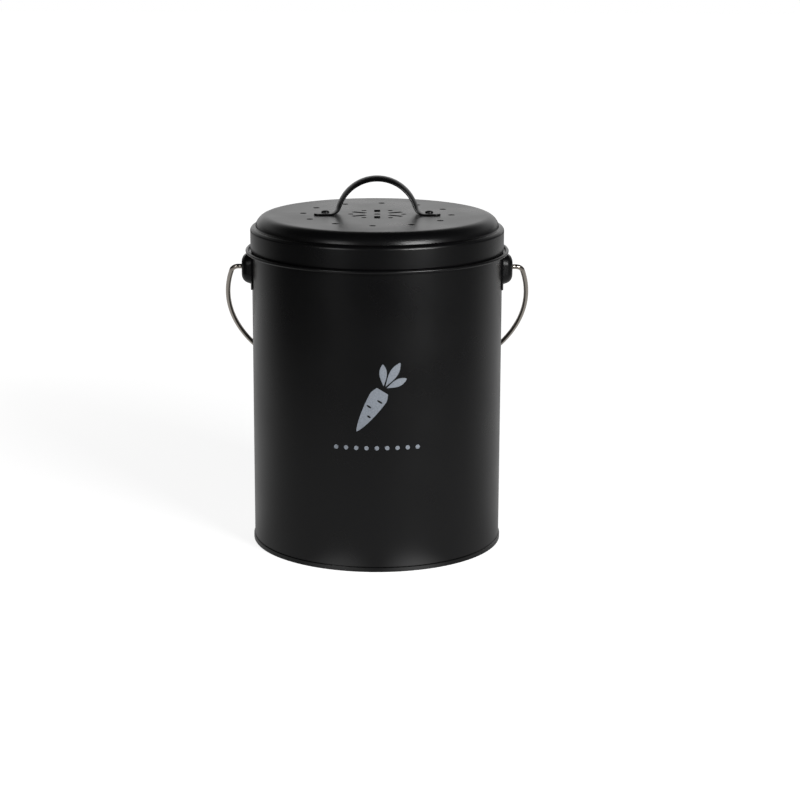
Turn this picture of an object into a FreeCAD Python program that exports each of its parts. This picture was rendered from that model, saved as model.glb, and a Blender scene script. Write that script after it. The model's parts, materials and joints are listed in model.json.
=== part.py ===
"""Compost bucket: painted steel bucket with a wire bail, a lift-out liner and a vented lid with a filter.

Millimetres, +Z up. The origin is the middle of the base, on the surface that the bucket stands on.
The front of the bucket faces -Y, and the ears of the bail are on the X axis.
"""
import FreeCAD, Part
import math
import os
from types import SimpleNamespace

import Sketcher

SIZES = [
    # Bucket
    ("wall_radius", 87.5, "outside of the bucket wall"),
    ("wall_sheet", 0.6, "sheet of the wall"),
    ("rim_height", 209.1, "crown of the rolled rim above the ground"),
    ("rim_width", 5.0, "from the inside of the wall to the outermost line of the rim"),
    ("rim_roll", 2.2, "width and height of the tight roll along the rim's edge"),
    ("flange_bend", 0.4, "hollow bend between the wall and the flange of its rim"),
    ("base_sheet", 0.7, "sheet of the base"),
    ("base_height", 4.5, "underside of the base above the ground"),
    ("base_bend", 1.0, "inside bend between the base and its folded edge"),
    ("seam_height", 3.5, "folded edge of the base, outside the wall"),
    ("seam_bend", 0.5, "rounding of the folded edge"),
    ("joint_gap", 0.05, "between painted faces that are pressed or welded together"),
    # Ears
    ("ear_reach", 7.2, "outer face of an ear from the wall"),
    ("ear_sheet", 1.0, "sheet of an ear"),
    ("ear_width", 22.0, "width of an ear's cup at the wall"),
    ("ear_height", 22.9, "height of an ear's cup at the wall"),
    ("ear_rim_gap", 0.6, "from the top of an ear to the rim"),
    ("ear_side_draft", 3.0, "how far a cup's sides close in towards its outer face"),
    ("ear_foot_draft", 2.5, "how far a cup's underside rises towards its outer face"),
    ("ear_head_draft", 1.6, "how far a cup's top falls towards its outer face"),
    ("ear_corner", 7.5, "corner radius of a cup"),
    ("ear_edge", 6.0, "rounding round a cup's outer face"),
    ("ear_root", 1.5, "depth of a cup behind the outermost line of the wall, before it is trimmed"),
    ("ear_tab", 2.4, "tab of an ear below its cup"),
    ("ear_flange", 2.8, "flange of an ear beside its cup"),
    ("ear_flange_round", 4.0, "corner radius of the flange"),
    # Bail
    ("pivot_drop", 10.9, "axis of the bail below the rim"),
    ("wire_diameter", 3.4, "wire of the bail"),
    ("bail_play", 0.1, "radial play of the wire in an ear"),
    ("bail_stub", 2.43, "straight wire between an ear and the bend beside it"),
    ("bail_bend", 5.0, "bend of the wire beside an ear"),
    ("bail_drop", 32.7, "centre of the bail's long arc from the bail's axis"),
    ("bail_wall_gap", 0.3, "from the hanging bail to the wall"),
    ("wire_head_lip", 1.5, "how far the upset head inside an ear stands out round the wire"),
    ("wire_head_depth", 1.5, "thickness of that head"),
    ("wire_head_gap", 0.4, "from that head to the ear's sheet"),
    # Liner
    ("liner_wall", 1.6, "wall of the liner"),
    ("liner_play", 1.7, "from the liner's lip to the bucket wall"),
    ("liner_taper", 5.5, "how much smaller the liner's radius is at its foot"),
    ("liner_lip", 2.2, "width of the lip outside the liner's wall"),
    ("liner_lip_depth", 2.0, "thickness of the lip and of the finger ledges"),
    ("liner_lid_gap", 3.0, "from the liner to the lid's plug"),
    ("liner_foot_round", 6.0, "rounding at the liner's foot"),
    ("liner_ledge", 11.0, "reach of a finger ledge into the mouth"),
    # Lid
    ("lid_sheet", 0.6, "sheet of the lid"),
    ("skirt_overhang", 1.0, "how far the lid's skirt stands out past the wall"),
    ("skirt_height", 15.7, "from the neck of the lid to its ledge"),
    ("plug_gap", 0.5, "radial play of the lid's plug in the mouth"),
    ("plug_depth", 6.7, "straight part of the lid's plug"),
    ("lid_seat_gap", 0.35, "from the neck of the lid to the bend of the rim"),
    ("neck_round", 2.0, "rounding at the top of the neck"),
    ("neck_hollow", 1.2, "rounding at the foot of the neck"),
    ("ledge_round", 2.5, "rounding at the edge of the ledge"),
    ("ledge_width", 3.6, "ledge between the skirt and the raised top of the lid"),
    ("shoulder_height", 8.2, "from the ledge to the raised top of the lid"),
    ("shoulder_hollow", 0.9, "rounding at the foot of the raised top"),
    ("shoulder_round", 9.0, "rounding at the edge of the raised top"),
    # Vents
    ("vent_hole", 4.7, "diameter of the vents in the middle and in the outer ring"),
    ("vent_ring_radius", 51.7, "outer ring of vents"),
    ("vent_ring_count", 12, "vents in the outer ring"),
    ("vent_ring_turn", -3.5, "turn of the outer ring, in degrees"),
    ("slot_width", 4.2, "width of a vent slot"),
    ("slot_start", 9.3, "inner end of a vent slot from the middle"),
    ("slot_end", 19.8, "outer end of a vent slot from the middle"),
    ("slot_count", 6, "vent slots, and as many small vents between them"),
    ("small_vent", 3.8, "diameter of a small vent"),
    ("small_vent_radius", 18.5, "ring of small vents"),
    # Handle of the lid
    ("strap_sheet", 1.2, "sheet of the handle strap"),
    ("strap_width", 16.0, "width of the strap"),
    ("strap_bow", 2.2, "how far the arch's edges are pressed down below its middle"),
    ("foot_bow", 0.02, "bow that is left in the strap's feet"),
    ("arch_radius", 29.4, "outside of the arch"),
    ("arch_rise", 27.0, "top of the arch above the lid"),
    ("press_angle", 4.0, "part of the arch over which its section becomes bowed"),
    ("foot_bend", 5.0, "hollow bend between the arch and a foot"),
    ("foot_length", 7.8, "end of a foot from its rivet"),
    ("foot_corner", 4.0, "corner radius of a foot"),
    ("rivet_bend_gap", 0.1, "from a rivet's head to the bend of the strap"),
    ("rivet_shank", 3.2, "diameter of a rivet"),
    ("rivet_head", 5.6, "diameter of a rivet's head"),
    ("rivet_head_depth", 1.5, "height of a rivet's head"),
    ("rivet_head_round", 1.2, "rounding of a rivet's head"),
    ("rivet_tail", 5.2, "diameter of a rivet's closed end"),
    ("rivet_tail_depth", 1.2, "height of a rivet's closed end"),
    ("washer_width", 9.0, "outside diameter of a washer"),
    ("washer_sheet", 0.8, "thickness of a washer"),
    # Filter
    ("collar_wall", 2.3, "wall of the filter collar"),
    ("collar_depth", 11.0, "height of the filter collar"),
    ("collar_bar", 8.0, "width of the two bars across the collar"),
    ("collar_bar_depth", 2.0, "thickness of those bars"),
    ("vent_cover", 4.3, "how far the filter tray reaches past the outer ring of vents"),
    ("tray_play", 0.3, "radial play of the tray in its collar"),
    ("tray_wall", 1.6, "wall and floor of the tray"),
    ("tray_lip", 2.0, "reach of the tray's pull lip beyond the collar"),
    ("tray_lip_gap", 0.4, "from the pull lip to the collar"),
    ("tray_bar_gap", 0.6, "from the tray's edge to the collar's bars"),
    ("tray_hole", 16.0, "diameter of the hole in the middle of the tray"),
    ("tray_slot_start", 15.0, "inner end of a tray slot from the middle"),
    ("tray_slot_edge", 5.0, "from the outer end of a tray slot to the tray's wall"),
    ("tray_slot_width", 5.0, "width of a tray slot"),
    ("tray_slot_count", 12, "slots in the tray's floor"),
    ("pad_play", 0.5, "from the filter pad to the tray's wall"),
    ("pad_rivet_gap", 0.4, "from the filter pad to the rivets"),
    ("pad_round", 1.0, "rounding of the filter pad's edge"),
]

# Length of a square's diagonal, for what leans at 45 degrees
DIAGONAL = math.sqrt(2.0)
# How far the corner of a 45 degree bend shifts, as a share of the sheet
MITRE_45 = math.tan(math.radians(22.5))
# How far the side of the lid's raised top leans in, as a share of its height: 10 degrees
SHOULDER_LEAN = math.tan(math.radians(10.0))
# How far the corners of that side shift, as a share of the sheet
SHOULDER_MITRE = math.tan(math.radians(40.0))
# Corner rounding of the rolled rim, as a share of its width: just short of a full round
ROLL_ROUNDNESS = 0.48
# Lengths below this count as nothing
NEARLY_ZERO = 1e-6
# How far a punch starts above a sheet and ends below it
CUT_PAST = 1.0
# Sections along each bent stretch of the strap
BEND_STEPS = 6


class Size:
    """A size, with the expression on the sheet's cells that gives it."""

    def __init__(self, value, text):
        self.value = value
        self.text = text

    def __add__(self, other):
        other = as_size(other)
        return Size(self.value + other.value, f"({self.text} + {other.text})")

    def __sub__(self, other):
        other = as_size(other)
        return Size(self.value - other.value, f"({self.text} - {other.text})")

    def __mul__(self, factor):
        return Size(self.value * factor, f"({self.text} * {factor:.9f})")

    def __neg__(self):
        return self * -1.0


def as_size(item):
    """Takes a plain number as a size that doesn't change."""
    return item if isinstance(item, Size) else Size(float(item), f"{item:.9f}")


def hypotenuse(first, second):
    """Longest side of a right triangle."""
    return Size(math.hypot(first.value, second.value), f"sqrt({first.text} ^ 2 + {second.text} ^ 2)")


def other_side(longest, side):
    """Third side of a right triangle."""
    return Size(math.sqrt(longest.value ** 2 - side.value ** 2), f"sqrt({longest.text} ^ 2 - {side.text} ^ 2)")


def lean_angle(across, length):
    """How far a length leans to reach across, in degrees."""
    return Size(math.degrees(math.asin(across.value / length.value)), f"asin({across.text} / {length.text})")


def make_sheet(document):
    """Writes the sizes into a sheet, one row each, and gives them back by name."""
    sheet = document.addObject("Spreadsheet::Sheet", "Sizes")
    named = {}
    for row, (alias, value, meaning) in enumerate(SIZES, start=1):
        sheet.set(f"A{row}", alias)
        sheet.set(f"B{row}", str(value))
        sheet.set(f"C{row}", meaning)
        sheet.setAlias(f"B{row}", alias)
    document.recompute()
    for alias, _, _ in SIZES:
        named[alias] = Size(float(sheet.get(alias)), f"Sizes.{alias}")
    return SimpleNamespace(**named)


doc = FreeCAD.newDocument("compost_bucket")
size = make_sheet(doc)
sub_parts = []


# Sketches and features

def new_body(label):
    """Starts a sub-part."""
    body = doc.addObject("PartDesign::Body", label)
    body.Label = label
    sub_parts.append(body)
    return body


def origin_feature(body, role):
    """Finds one of a body's own planes or axes."""
    return next(item for item in body.Origin.OriginFeatures if item.Role == role)


def new_sketch(body, name, role, **offsets):
    """Puts a sketch on a plane of the body, shifted along the sketch's own x, y or z."""
    sketch = body.newObject("Sketcher::SketchObject", name)
    sketch.AttachmentSupport = (origin_feature(body, role), [""])
    sketch.MapMode = "FlatFace"
    for axis, offset in offsets.items():
        sketch.setExpression(f"AttachmentOffset.Base.{axis}", offset.text)
    return sketch


def bind_constraint(sketch, constraint, amount):
    """Adds a constraint whose amount follows the sheet."""
    index = sketch.addConstraint(constraint)
    sketch.setExpression(f"Constraints[{index}]", amount.text)


def hold_point(sketch, geometry, end, x, y):
    """Holds a point of the sketch at x and y."""
    for kind, place, axis in (("DistanceX", as_size(x), -2), ("DistanceY", as_size(y), -1)):
        if abs(place.value) < NEARLY_ZERO:
            sketch.addConstraint(Sketcher.Constraint("PointOnObject", geometry, end, axis))
        elif place.value > 0:
            bind_constraint(sketch, Sketcher.Constraint(kind, -1, 1, geometry, end, place.value), place)
        else:
            bind_constraint(sketch, Sketcher.Constraint(kind, geometry, end, -1, 1, -place.value), -place)


def arc_between(centre, radius, start, end):
    """An arc that runs anticlockwise from start to end."""
    first = math.atan2(start.y - centre.y, start.x - centre.x)
    last = math.atan2(end.y - centre.y, end.x - centre.x)
    if last < first:
        last += 2.0 * math.pi
    circle = Part.Circle(centre, FreeCAD.Vector(0, 0, 1), radius)
    return Part.ArcOfCircle(circle, first, last)


def rounded_corner(before, here, after, radius):
    """Where a rounding touches the two lines of a corner, its centre, and whether it turns left."""
    into = (here - before).normalize()
    out = (after - here).normalize()
    cross = into.x * out.y - into.y * out.x
    reach = radius * math.tan(0.5 * math.atan2(abs(cross), into.dot(out)))
    side = math.copysign(1.0, cross)
    first = here - into * reach
    last = here + out * reach
    centre = first + FreeCAD.Vector(-into.y, into.x, 0) * (side * radius)
    return first, last, centre, side > 0


def outline(sketch, corners):
    """Draws a closed outline through corners (x, y, rounding), each held by the sheet."""
    count = len(corners)
    points = [FreeCAD.Vector(as_size(x).value, as_size(y).value, 0) for x, y, _ in corners]
    rounds = [as_size(rounding) for _, _, rounding in corners]
    arrive, leave, arcs = list(points), list(points), {}
    for i in range(count):
        if rounds[i].value > 0:
            after = points[(i + 1) % count]
            arrive[i], leave[i], centre, left = rounded_corner(points[i - 1], points[i], after, rounds[i].value)
            ends = (arrive[i], leave[i]) if left else (leave[i], arrive[i])
            arcs[i] = (arc_between(centre, rounds[i].value, *ends), left)
    lines = [sketch.addGeometry(Part.LineSegment(leave[i], arrive[(i + 1) % count])) for i in range(count)]
    for i, (x, y, _) in enumerate(corners):
        before, after = lines[i - 1], lines[i]
        if i not in arcs:
            sketch.addConstraint(Sketcher.Constraint("Coincident", before, 2, after, 1))
            hold_point(sketch, after, 1, x, y)
            continue
        corner = sketch.addGeometry(Part.Point(points[i]), True)
        hold_point(sketch, corner, 1, x, y)
        sketch.addConstraint(Sketcher.Constraint("PointOnObject", corner, 1, before))
        sketch.addConstraint(Sketcher.Constraint("PointOnObject", corner, 1, after))
        shape, left = arcs[i]
        arc = sketch.addGeometry(shape)
        sketch.addConstraint(Sketcher.Constraint("Tangent", before, 2, arc, 1 if left else 2))
        sketch.addConstraint(Sketcher.Constraint("Tangent", after, 1, arc, 2 if left else 1))
        bind_constraint(sketch, Sketcher.Constraint("Radius", arc, rounds[i].value), rounds[i])


def circle(sketch, x, y, diameter):
    """Draws a circle, held by the sheet."""
    middle = FreeCAD.Vector(as_size(x).value, as_size(y).value, 0)
    index = sketch.addGeometry(Part.Circle(middle, FreeCAD.Vector(0, 0, 1), diameter.value / 2.0))
    bind_constraint(sketch, Sketcher.Constraint("Diameter", index, diameter.value), diameter)
    hold_point(sketch, index, 3, x, y)


def rectangle(sketch, left, right, low, high, rounding=0.0):
    """Draws a rectangle with all four corners rounded alike."""
    outline(sketch, [(left, low, rounding), (right, low, rounding), (right, high, rounding), (left, high, rounding)])


def feature(body, kind, name, **settings):
    """Adds a feature; a setting that is a size follows the sheet."""
    made = body.newObject(f"PartDesign::{kind}", name)
    for key, setting in settings.items():
        if isinstance(setting, Size):
            made.setExpression(key, setting.text)
        else:
            setattr(made, key, setting)
    doc.recompute()
    return made


def cut(body, kind, name, **settings):
    """Adds a feature that takes material away, and makes sure that it does."""
    doc.recompute()
    before = body.Shape.Volume
    made = feature(body, kind, name, **settings)
    if not body.Shape.Volume < before:
        raise RuntimeError(f"{name} cuts nothing from {body.Label}")
    return made


def revolved(body, name, corners, **offsets):
    """Adds a ring or disc turned about the sketch's own upright axis."""
    sketch = new_sketch(body, f"{name}_outline", "XZ_Plane", **offsets)
    outline(sketch, corners)
    return feature(body, "Revolution", name, Profile=sketch, ReferenceAxis=(sketch, ["V_Axis"]), Angle=360.0)


def round_pattern(body, name, original, count):
    """Repeats a feature evenly round the upright axis."""
    axis = (origin_feature(body, "Z_Axis"), [""])
    pattern = feature(body, "PolarPattern", name, Originals=[original], Axis=axis, Angle=360.0, Occurrences=count)
    body.Tip = pattern
    doc.recompute()


def punched(body, name, height, depth, draw, count=None, turn=None):
    """Punches what draw puts in a sketch down from a height, turned, and repeats it round the axis."""
    sketch = new_sketch(body, f"{name}_outline", "XY_Plane", z=height)
    if turn is not None:
        sketch.setExpression("AttachmentOffset.Rotation.Angle", turn.text)
    draw(sketch)
    pocket = cut(body, "Pocket", name, Profile=sketch, Length=depth)
    if count is not None:
        round_pattern(body, f"{name}_ring", pocket, count)


# Sizes that follow from others

inner_wall = size.wall_radius - size.wall_sheet
rim_radius = inner_wall + size.rim_width
rim_foot = size.rim_height - size.rim_roll
flange_top = rim_foot + size.wall_sheet
flange_round = size.flange_bend + size.wall_sheet
base_top = size.base_height + size.base_sheet
ear_head = rim_foot - size.ear_rim_gap
ear_foot = ear_head - size.ear_height
ear_face = size.wall_radius + size.ear_reach
pivot_height = rim_foot - size.pivot_drop
bend_place = ear_face + size.bail_stub
bail_radius = hypotenuse(bend_place, size.bail_drop - size.bail_bend) + size.bail_bend
skirt_radius = size.wall_radius + size.skirt_overhang
shoulder_radius = skirt_radius - size.ledge_width
crown_radius = shoulder_radius - size.shoulder_height * SHOULDER_LEAN
plug_radius = inner_wall - size.plug_gap
neck_clear = (flange_round + size.lid_seat_gap) * DIAGONAL
neck_head = flange_top + neck_clear + skirt_radius - inner_wall - flange_round * 2.0
neck_foot = neck_head - skirt_radius + plug_radius
plug_foot = neck_foot - size.plug_depth
ledge_height = neck_head + size.skirt_height
lid_top = ledge_height + size.shoulder_height
lid_underside = lid_top - size.lid_sheet
foot_top = lid_top + size.strap_sheet + size.foot_bow
arch_centre_height = lid_top + size.arch_rise - size.arch_radius
foot_bend_place = other_side(size.arch_radius + size.foot_bend, foot_top + size.foot_bend - arch_centre_height)
rivet_place = foot_bend_place + size.rivet_bend_gap + size.rivet_head * 0.5
rivet_hole = size.rivet_shank + size.joint_gap * 2.0
foot_end = rivet_place + size.foot_length
bar_foot = lid_underside - size.collar_bar_depth
washer_foot = bar_foot - size.washer_sheet
tail_foot = washer_foot - size.rivet_tail_depth
collar_foot = lid_underside - size.collar_depth
tray_radius = size.vent_ring_radius + size.vent_cover
tray_inside = tray_radius - size.tray_wall
tray_floor = collar_foot - size.tray_lip_gap
collar_inside = tray_radius + size.tray_play
collar_outside = collar_inside + size.collar_wall


# Bucket

def make_bucket_wall():
    """Straight wall whose top is flanged outwards and then rolled up tight along its edge."""
    roll_round = size.rim_roll * ROLL_ROUNDNESS
    roll_inside = rim_radius - size.rim_roll
    revolved(new_body("bucket_wall"), "wall", [
        (inner_wall, size.base_sheet, 0),
        (size.wall_radius, size.base_sheet, 0),
        (size.wall_radius, rim_foot, size.flange_bend),
        (rim_radius, rim_foot, roll_round),
        (rim_radius, size.rim_height, roll_round),
        (roll_inside, size.rim_height, roll_round),
        (roll_inside, flange_top, 0),
        (inner_wall, flange_top, flange_round),
    ])


def make_base_pan():
    """Raised base whose edge is folded down inside the wall and up again outside it."""
    leg_outside = inner_wall - size.joint_gap
    leg_inside = leg_outside - size.base_sheet
    lip_inside = size.wall_radius + size.joint_gap
    lip_outside = lip_inside + size.base_sheet
    revolved(new_body("base_pan"), "pan", [
        (0, size.base_height, 0),
        (leg_inside, size.base_height, size.base_bend),
        (leg_inside, 0, size.seam_bend),
        (lip_outside, 0, size.seam_bend),
        (lip_outside, size.seam_height, size.seam_bend),
        (lip_inside, size.seam_height, 0),
        (lip_inside, size.base_sheet, 0),
        (leg_outside, size.base_sheet, 0),
        (leg_outside, base_top, size.base_bend + size.base_sheet),
        (0, base_top, 0),
    ])


def cup_section(body, name, place, inset, draft_share):
    """One section of an ear's cup: at the wall when draft_share is 0, at its outer face when it is 1."""
    sketch = new_sketch(body, name, "YZ_Plane", z=place)
    half = size.ear_width * 0.5 - size.ear_side_draft * draft_share - inset
    low = ear_foot + size.ear_foot_draft * draft_share + inset
    high = ear_head - size.ear_head_draft * draft_share - inset
    rectangle(sketch, -half, half, low, high, size.ear_corner - inset)
    return sketch


def round_face(body, name, base, place, radius):
    """Rounds the edges of the base that lie at one distance along X."""
    edges = [f"Edge{i}" for i, edge in enumerate(base.Shape.Edges, start=1)
             if all(abs(vertex.X - place.value) < NEARLY_ZERO for vertex in edge.Vertexes)]
    return feature(body, "Fillet", name, Base=(base, edges), Radius=radius)


def make_ear(label, turn):
    """Pressed cup with a flange that follows the wall; the bail's wire goes through its outer face."""
    body = new_body(label)
    flange = new_sketch(body, "flange_outline", "XZ_Plane")
    seat = size.wall_radius + size.joint_gap
    rectangle(flange, seat, seat + size.ear_sheet, ear_foot - size.ear_tab, ear_head)
    half_angle = lean_angle(size.ear_width * 0.5 + size.ear_flange, seat)
    plate = feature(body, "Revolution", "flange", Profile=flange, ReferenceAxis=(flange, ["V_Axis"]),
                    Angle=half_angle * 2.0, Midplane=True)
    corners = [f"Edge{i}" for i, edge in enumerate(plate.Shape.Edges, start=1)
               if abs(edge.Length - size.ear_sheet.value) < NEARLY_ZERO]
    feature(body, "Fillet", "flange_rounding", Base=(plate, corners), Radius=size.ear_flange_round)
    root = size.wall_radius - size.ear_root
    wide = cup_section(body, "cup_root", root, as_size(0), 0.0)
    narrow = cup_section(body, "cup_face", ear_face, as_size(0), 1.0)
    feature(body, "AdditiveLoft", "cup", Profile=wide, Sections=[narrow])
    inner_face = ear_face - size.ear_sheet
    wide = cup_section(body, "hollow_root", root - size.ear_sheet, size.ear_sheet, 0.0)
    narrow = cup_section(body, "hollow_face", inner_face, size.ear_sheet, 1.0)
    hollow = cut(body, "SubtractiveLoft", "hollow", Profile=wide, Sections=[narrow])
    rounded = round_face(body, "hollow_rounding", hollow, inner_face, size.ear_edge - size.ear_sheet)
    round_face(body, "cup_rounding", rounded, ear_face, size.ear_edge)
    trim = new_sketch(body, "trim_outline", "XZ_Plane")
    rectangle(trim, 0, seat, ear_foot - size.ear_tab, ear_head)
    cut(body, "Groove", "trim", Profile=trim, ReferenceAxis=(trim, ["V_Axis"]), Angle=360.0)
    bore = new_sketch(body, "wire_hole_outline", "YZ_Plane", z=ear_face + CUT_PAST)
    circle(bore, 0, pivot_height, size.wire_diameter + size.bail_play * 2.0)
    cut(body, "Pocket", "wire_hole", Profile=bore, Length=size.ear_sheet + CUT_PAST * 2.0)
    body.Placement = FreeCAD.Placement(FreeCAD.Vector(), FreeCAD.Rotation(FreeCAD.Vector(0, 0, 1), turn))


# Bail

def bail_path(sketch, tip):
    """Draws the wire's middle line: an end, a bend, the long arc, a bend and the other end."""
    bend, arc, drop, bend_x = (item.value for item in (size.bail_bend, bail_radius, size.bail_drop, bend_place))
    share = arc / (arc - bend)
    middle = FreeCAD.Vector(0, -drop, 0)
    meet_x = bend_x * share
    meet_y = -drop + (drop - bend) * share
    curves = []
    for side in (1, -1):
        end = FreeCAD.Vector(side * tip.value, 0, 0)
        bend_start = FreeCAD.Vector(side * bend_x, 0, 0)
        bend_end = FreeCAD.Vector(side * meet_x, meet_y, 0)
        bend_middle = FreeCAD.Vector(side * bend_x, -bend, 0)
        line = sketch.addGeometry(Part.LineSegment(end, bend_start))
        ends = (bend_end, bend_start) if side > 0 else (bend_start, bend_end)
        curves.append((line, sketch.addGeometry(arc_between(bend_middle, bend, *ends))))
    left, right = FreeCAD.Vector(-meet_x, meet_y, 0), FreeCAD.Vector(meet_x, meet_y, 0)
    long_arc = sketch.addGeometry(arc_between(middle, arc, left, right))
    bind_constraint(sketch, Sketcher.Constraint("Radius", long_arc, arc), bail_radius)
    hold_point(sketch, long_arc, 3, 0, -size.bail_drop)
    for side, (line, corner) in zip((1, -1), curves):
        line_end, arc_end = (2, 1) if side > 0 else (1, 2)
        hold_point(sketch, line, 1, tip * side, 0)
        sketch.addConstraint(Sketcher.Constraint("PointOnObject", line, 2, -1))
        sketch.addConstraint(Sketcher.Constraint("Tangent", line, 2, corner, line_end))
        sketch.addConstraint(Sketcher.Constraint("Tangent", corner, arc_end, long_arc, 2 if side > 0 else 1))
        bind_constraint(sketch, Sketcher.Constraint("Radius", corner, bend), size.bail_bend)


def make_bail():
    """Wire bail with upset ends, leaning on the back of the wall."""
    body = new_body("bail_wire")
    head_face = ear_face - size.ear_sheet - size.wire_head_gap
    tip = head_face - size.wire_head_depth
    path = new_sketch(body, "path", "XZ_Plane")
    bail_path(path, tip)
    section = new_sketch(body, "section", "YZ_Plane", z=tip)
    circle(section, 0, 0, size.wire_diameter)
    feature(body, "AdditivePipe", "wire", Profile=section, Spine=(path, [""]))
    head_sketch = new_sketch(body, "head_outline", "YZ_Plane", z=tip)
    circle(head_sketch, 0, 0, size.wire_diameter + size.wire_head_lip * 2.0)
    head = feature(body, "Pad", "head", Profile=head_sketch, Length=size.wire_head_depth)
    mirror_plane = (origin_feature(body, "YZ_Plane"), [""])
    body.Tip = feature(body, "Mirrored", "other_head", Originals=[head], MirrorPlane=mirror_plane)
    wall_reach = size.wall_radius + size.bail_wall_gap + size.wire_diameter * 0.5
    lean = lean_angle(wall_reach, size.bail_drop + bail_radius)
    turn = FreeCAD.Rotation(FreeCAD.Vector(1, 0, 0), lean.value)
    body.Placement = FreeCAD.Placement(FreeCAD.Vector(0, 0, pivot_height.value), turn)
    body.setExpression("Placement.Base.z", pivot_height.text)
    body.setExpression("Placement.Rotation.Angle", lean.text)
    print(f"bail leans {lean.value:.3f} degrees back and swings {360 - 2 * lean.value:.3f} degrees to the front")


# Liner

def make_liner():
    """Plastic bucket that stands on the base, with a lip and two finger ledges."""
    body = new_body("liner_bucket")
    top = plug_foot - size.liner_lid_gap
    lip_foot = top - size.liner_lip_depth
    lip_radius = inner_wall - size.liner_play
    outside = lip_radius - size.liner_lip
    mouth = outside - size.liner_wall
    floor = base_top + size.liner_wall
    revolved(body, "cup", [
        (0, base_top, 0),
        (outside - size.liner_taper, base_top, size.liner_foot_round),
        (outside, lip_foot, 0),
        (lip_radius, lip_foot, 0),
        (lip_radius, top, 0),
        (mouth, top, 0),
        (mouth - size.liner_taper, floor, size.liner_foot_round - size.liner_wall),
        (0, floor, 0),
    ])
    sketch = new_sketch(body, "ledge_outline", "XY_Plane", z=top)
    rim = mouth + size.liner_wall * 0.5
    chord = mouth - size.liner_ledge
    half = math.sqrt(rim.value ** 2 - chord.value ** 2)
    low, high = FreeCAD.Vector(chord.value, -half, 0), FreeCAD.Vector(chord.value, half, 0)
    line = sketch.addGeometry(Part.LineSegment(high, low))
    arc = sketch.addGeometry(arc_between(FreeCAD.Vector(), rim.value, low, high))
    sketch.addConstraint(Sketcher.Constraint("Coincident", arc, 3, -1, 1))
    sketch.addConstraint(Sketcher.Constraint("Coincident", line, 1, arc, 2))
    sketch.addConstraint(Sketcher.Constraint("Coincident", line, 2, arc, 1))
    sketch.addConstraint(Sketcher.Constraint("Vertical", line))
    bind_constraint(sketch, Sketcher.Constraint("Radius", arc, rim.value), rim)
    bind_constraint(sketch, Sketcher.Constraint("DistanceX", -1, 1, line, 1, chord.value), chord)
    ledge = feature(body, "Pad", "ledge", Profile=sketch, Length=size.liner_lip_depth, Reversed=True)
    mirror_plane = (origin_feature(body, "YZ_Plane"), [""])
    body.Tip = feature(body, "Mirrored", "other_ledge", Originals=[ledge], MirrorPlane=mirror_plane)


# Lid

def rivet_holes(sketch):
    """Draws the holes for the two rivets of the handle."""
    for side in (-1, 1):
        circle(sketch, rivet_place * side, 0, rivet_hole)


def make_lid_shell():
    """Pressed lid: raised top, ledge, skirt, and a neck that leads to a plug inside the mouth."""
    body = new_body("lid_shell")
    sheet = size.lid_sheet
    inner_neck_head = neck_head + sheet * MITRE_45
    inner_neck_foot = neck_foot + sheet * MITRE_45
    shoulder_shift = sheet * SHOULDER_MITRE
    revolved(body, "shell", [
        (0, lid_underside, 0),
        (crown_radius - shoulder_shift, lid_underside, size.shoulder_round - sheet),
        (shoulder_radius - shoulder_shift, ledge_height - sheet, size.shoulder_hollow + sheet),
        (skirt_radius - sheet, ledge_height - sheet, size.ledge_round - sheet),
        (skirt_radius - sheet, inner_neck_head, size.neck_round - sheet),
        (plug_radius - sheet, inner_neck_foot, size.neck_hollow + sheet),
        (plug_radius - sheet, plug_foot, 0),
        (plug_radius, plug_foot, 0),
        (plug_radius, neck_foot, size.neck_hollow),
        (skirt_radius, neck_head, size.neck_round),
        (skirt_radius, ledge_height, size.ledge_round),
        (shoulder_radius, ledge_height, size.shoulder_hollow),
        (crown_radius, lid_top, size.shoulder_round),
        (0, lid_top, 0),
    ])
    height = lid_top + CUT_PAST
    depth = size.lid_sheet + CUT_PAST * 2.0
    half_slot = size.slot_width * 0.5
    half_step = Size(180.0 / size.slot_count.value, f"180 / {size.slot_count.text}")

    def middle(sketch):
        circle(sketch, 0, 0, size.vent_hole)

    def slot(sketch):
        rectangle(sketch, size.slot_start, size.slot_end, -half_slot, half_slot)

    def small(sketch):
        circle(sketch, size.small_vent_radius, 0, size.small_vent)

    def outer(sketch):
        circle(sketch, size.vent_ring_radius, 0, size.vent_hole)

    punched(body, "middle_vent", height, depth, middle)
    punched(body, "slot_vent", height, depth, slot, size.slot_count, half_step)
    punched(body, "small_vent", height, depth, small, size.slot_count)
    punched(body, "outer_vent", height, depth, outer, size.vent_ring_count, size.vent_ring_turn)
    punched(body, "rivet_hole", height, depth, rivet_holes)


def strap_section(point, outwards, bow):
    """Section of the strap across its path: two shallow arcs, joined at the edges."""
    half = size.strap_width.value / 2.0
    across = FreeCAD.Vector(0, 1, 0)
    edges = []
    corners = []
    for depth in (0.0, size.strap_sheet.value):
        left = point - across * half - outwards * (depth + bow)
        right = point + across * half - outwards * (depth + bow)
        edges.append(Part.Arc(left, point - outwards * depth, right).toShape())
        corners.append((left, right))
    sides = [Part.LineSegment(corners[0][i], corners[1][i]).toShape() for i in (0, 1)]
    return Part.Wire([edges[0], sides[1], edges[1], sides[0]])


def strap_stretch(turns, middle, radius, hollow, presses):
    """A bent stretch of the strap: turns are from upright, and presses say how far its bow has grown."""
    flat, bowed = size.foot_bow.value, size.strap_bow.value
    sections = []
    for turn, press in zip(turns, presses):
        outwards = FreeCAD.Vector(math.sin(turn), 0, math.cos(turn))
        point = middle - outwards * radius if hollow else middle + outwards * radius
        sections.append(strap_section(point, outwards, flat + (bowed - flat) * press))
    return sections


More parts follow.
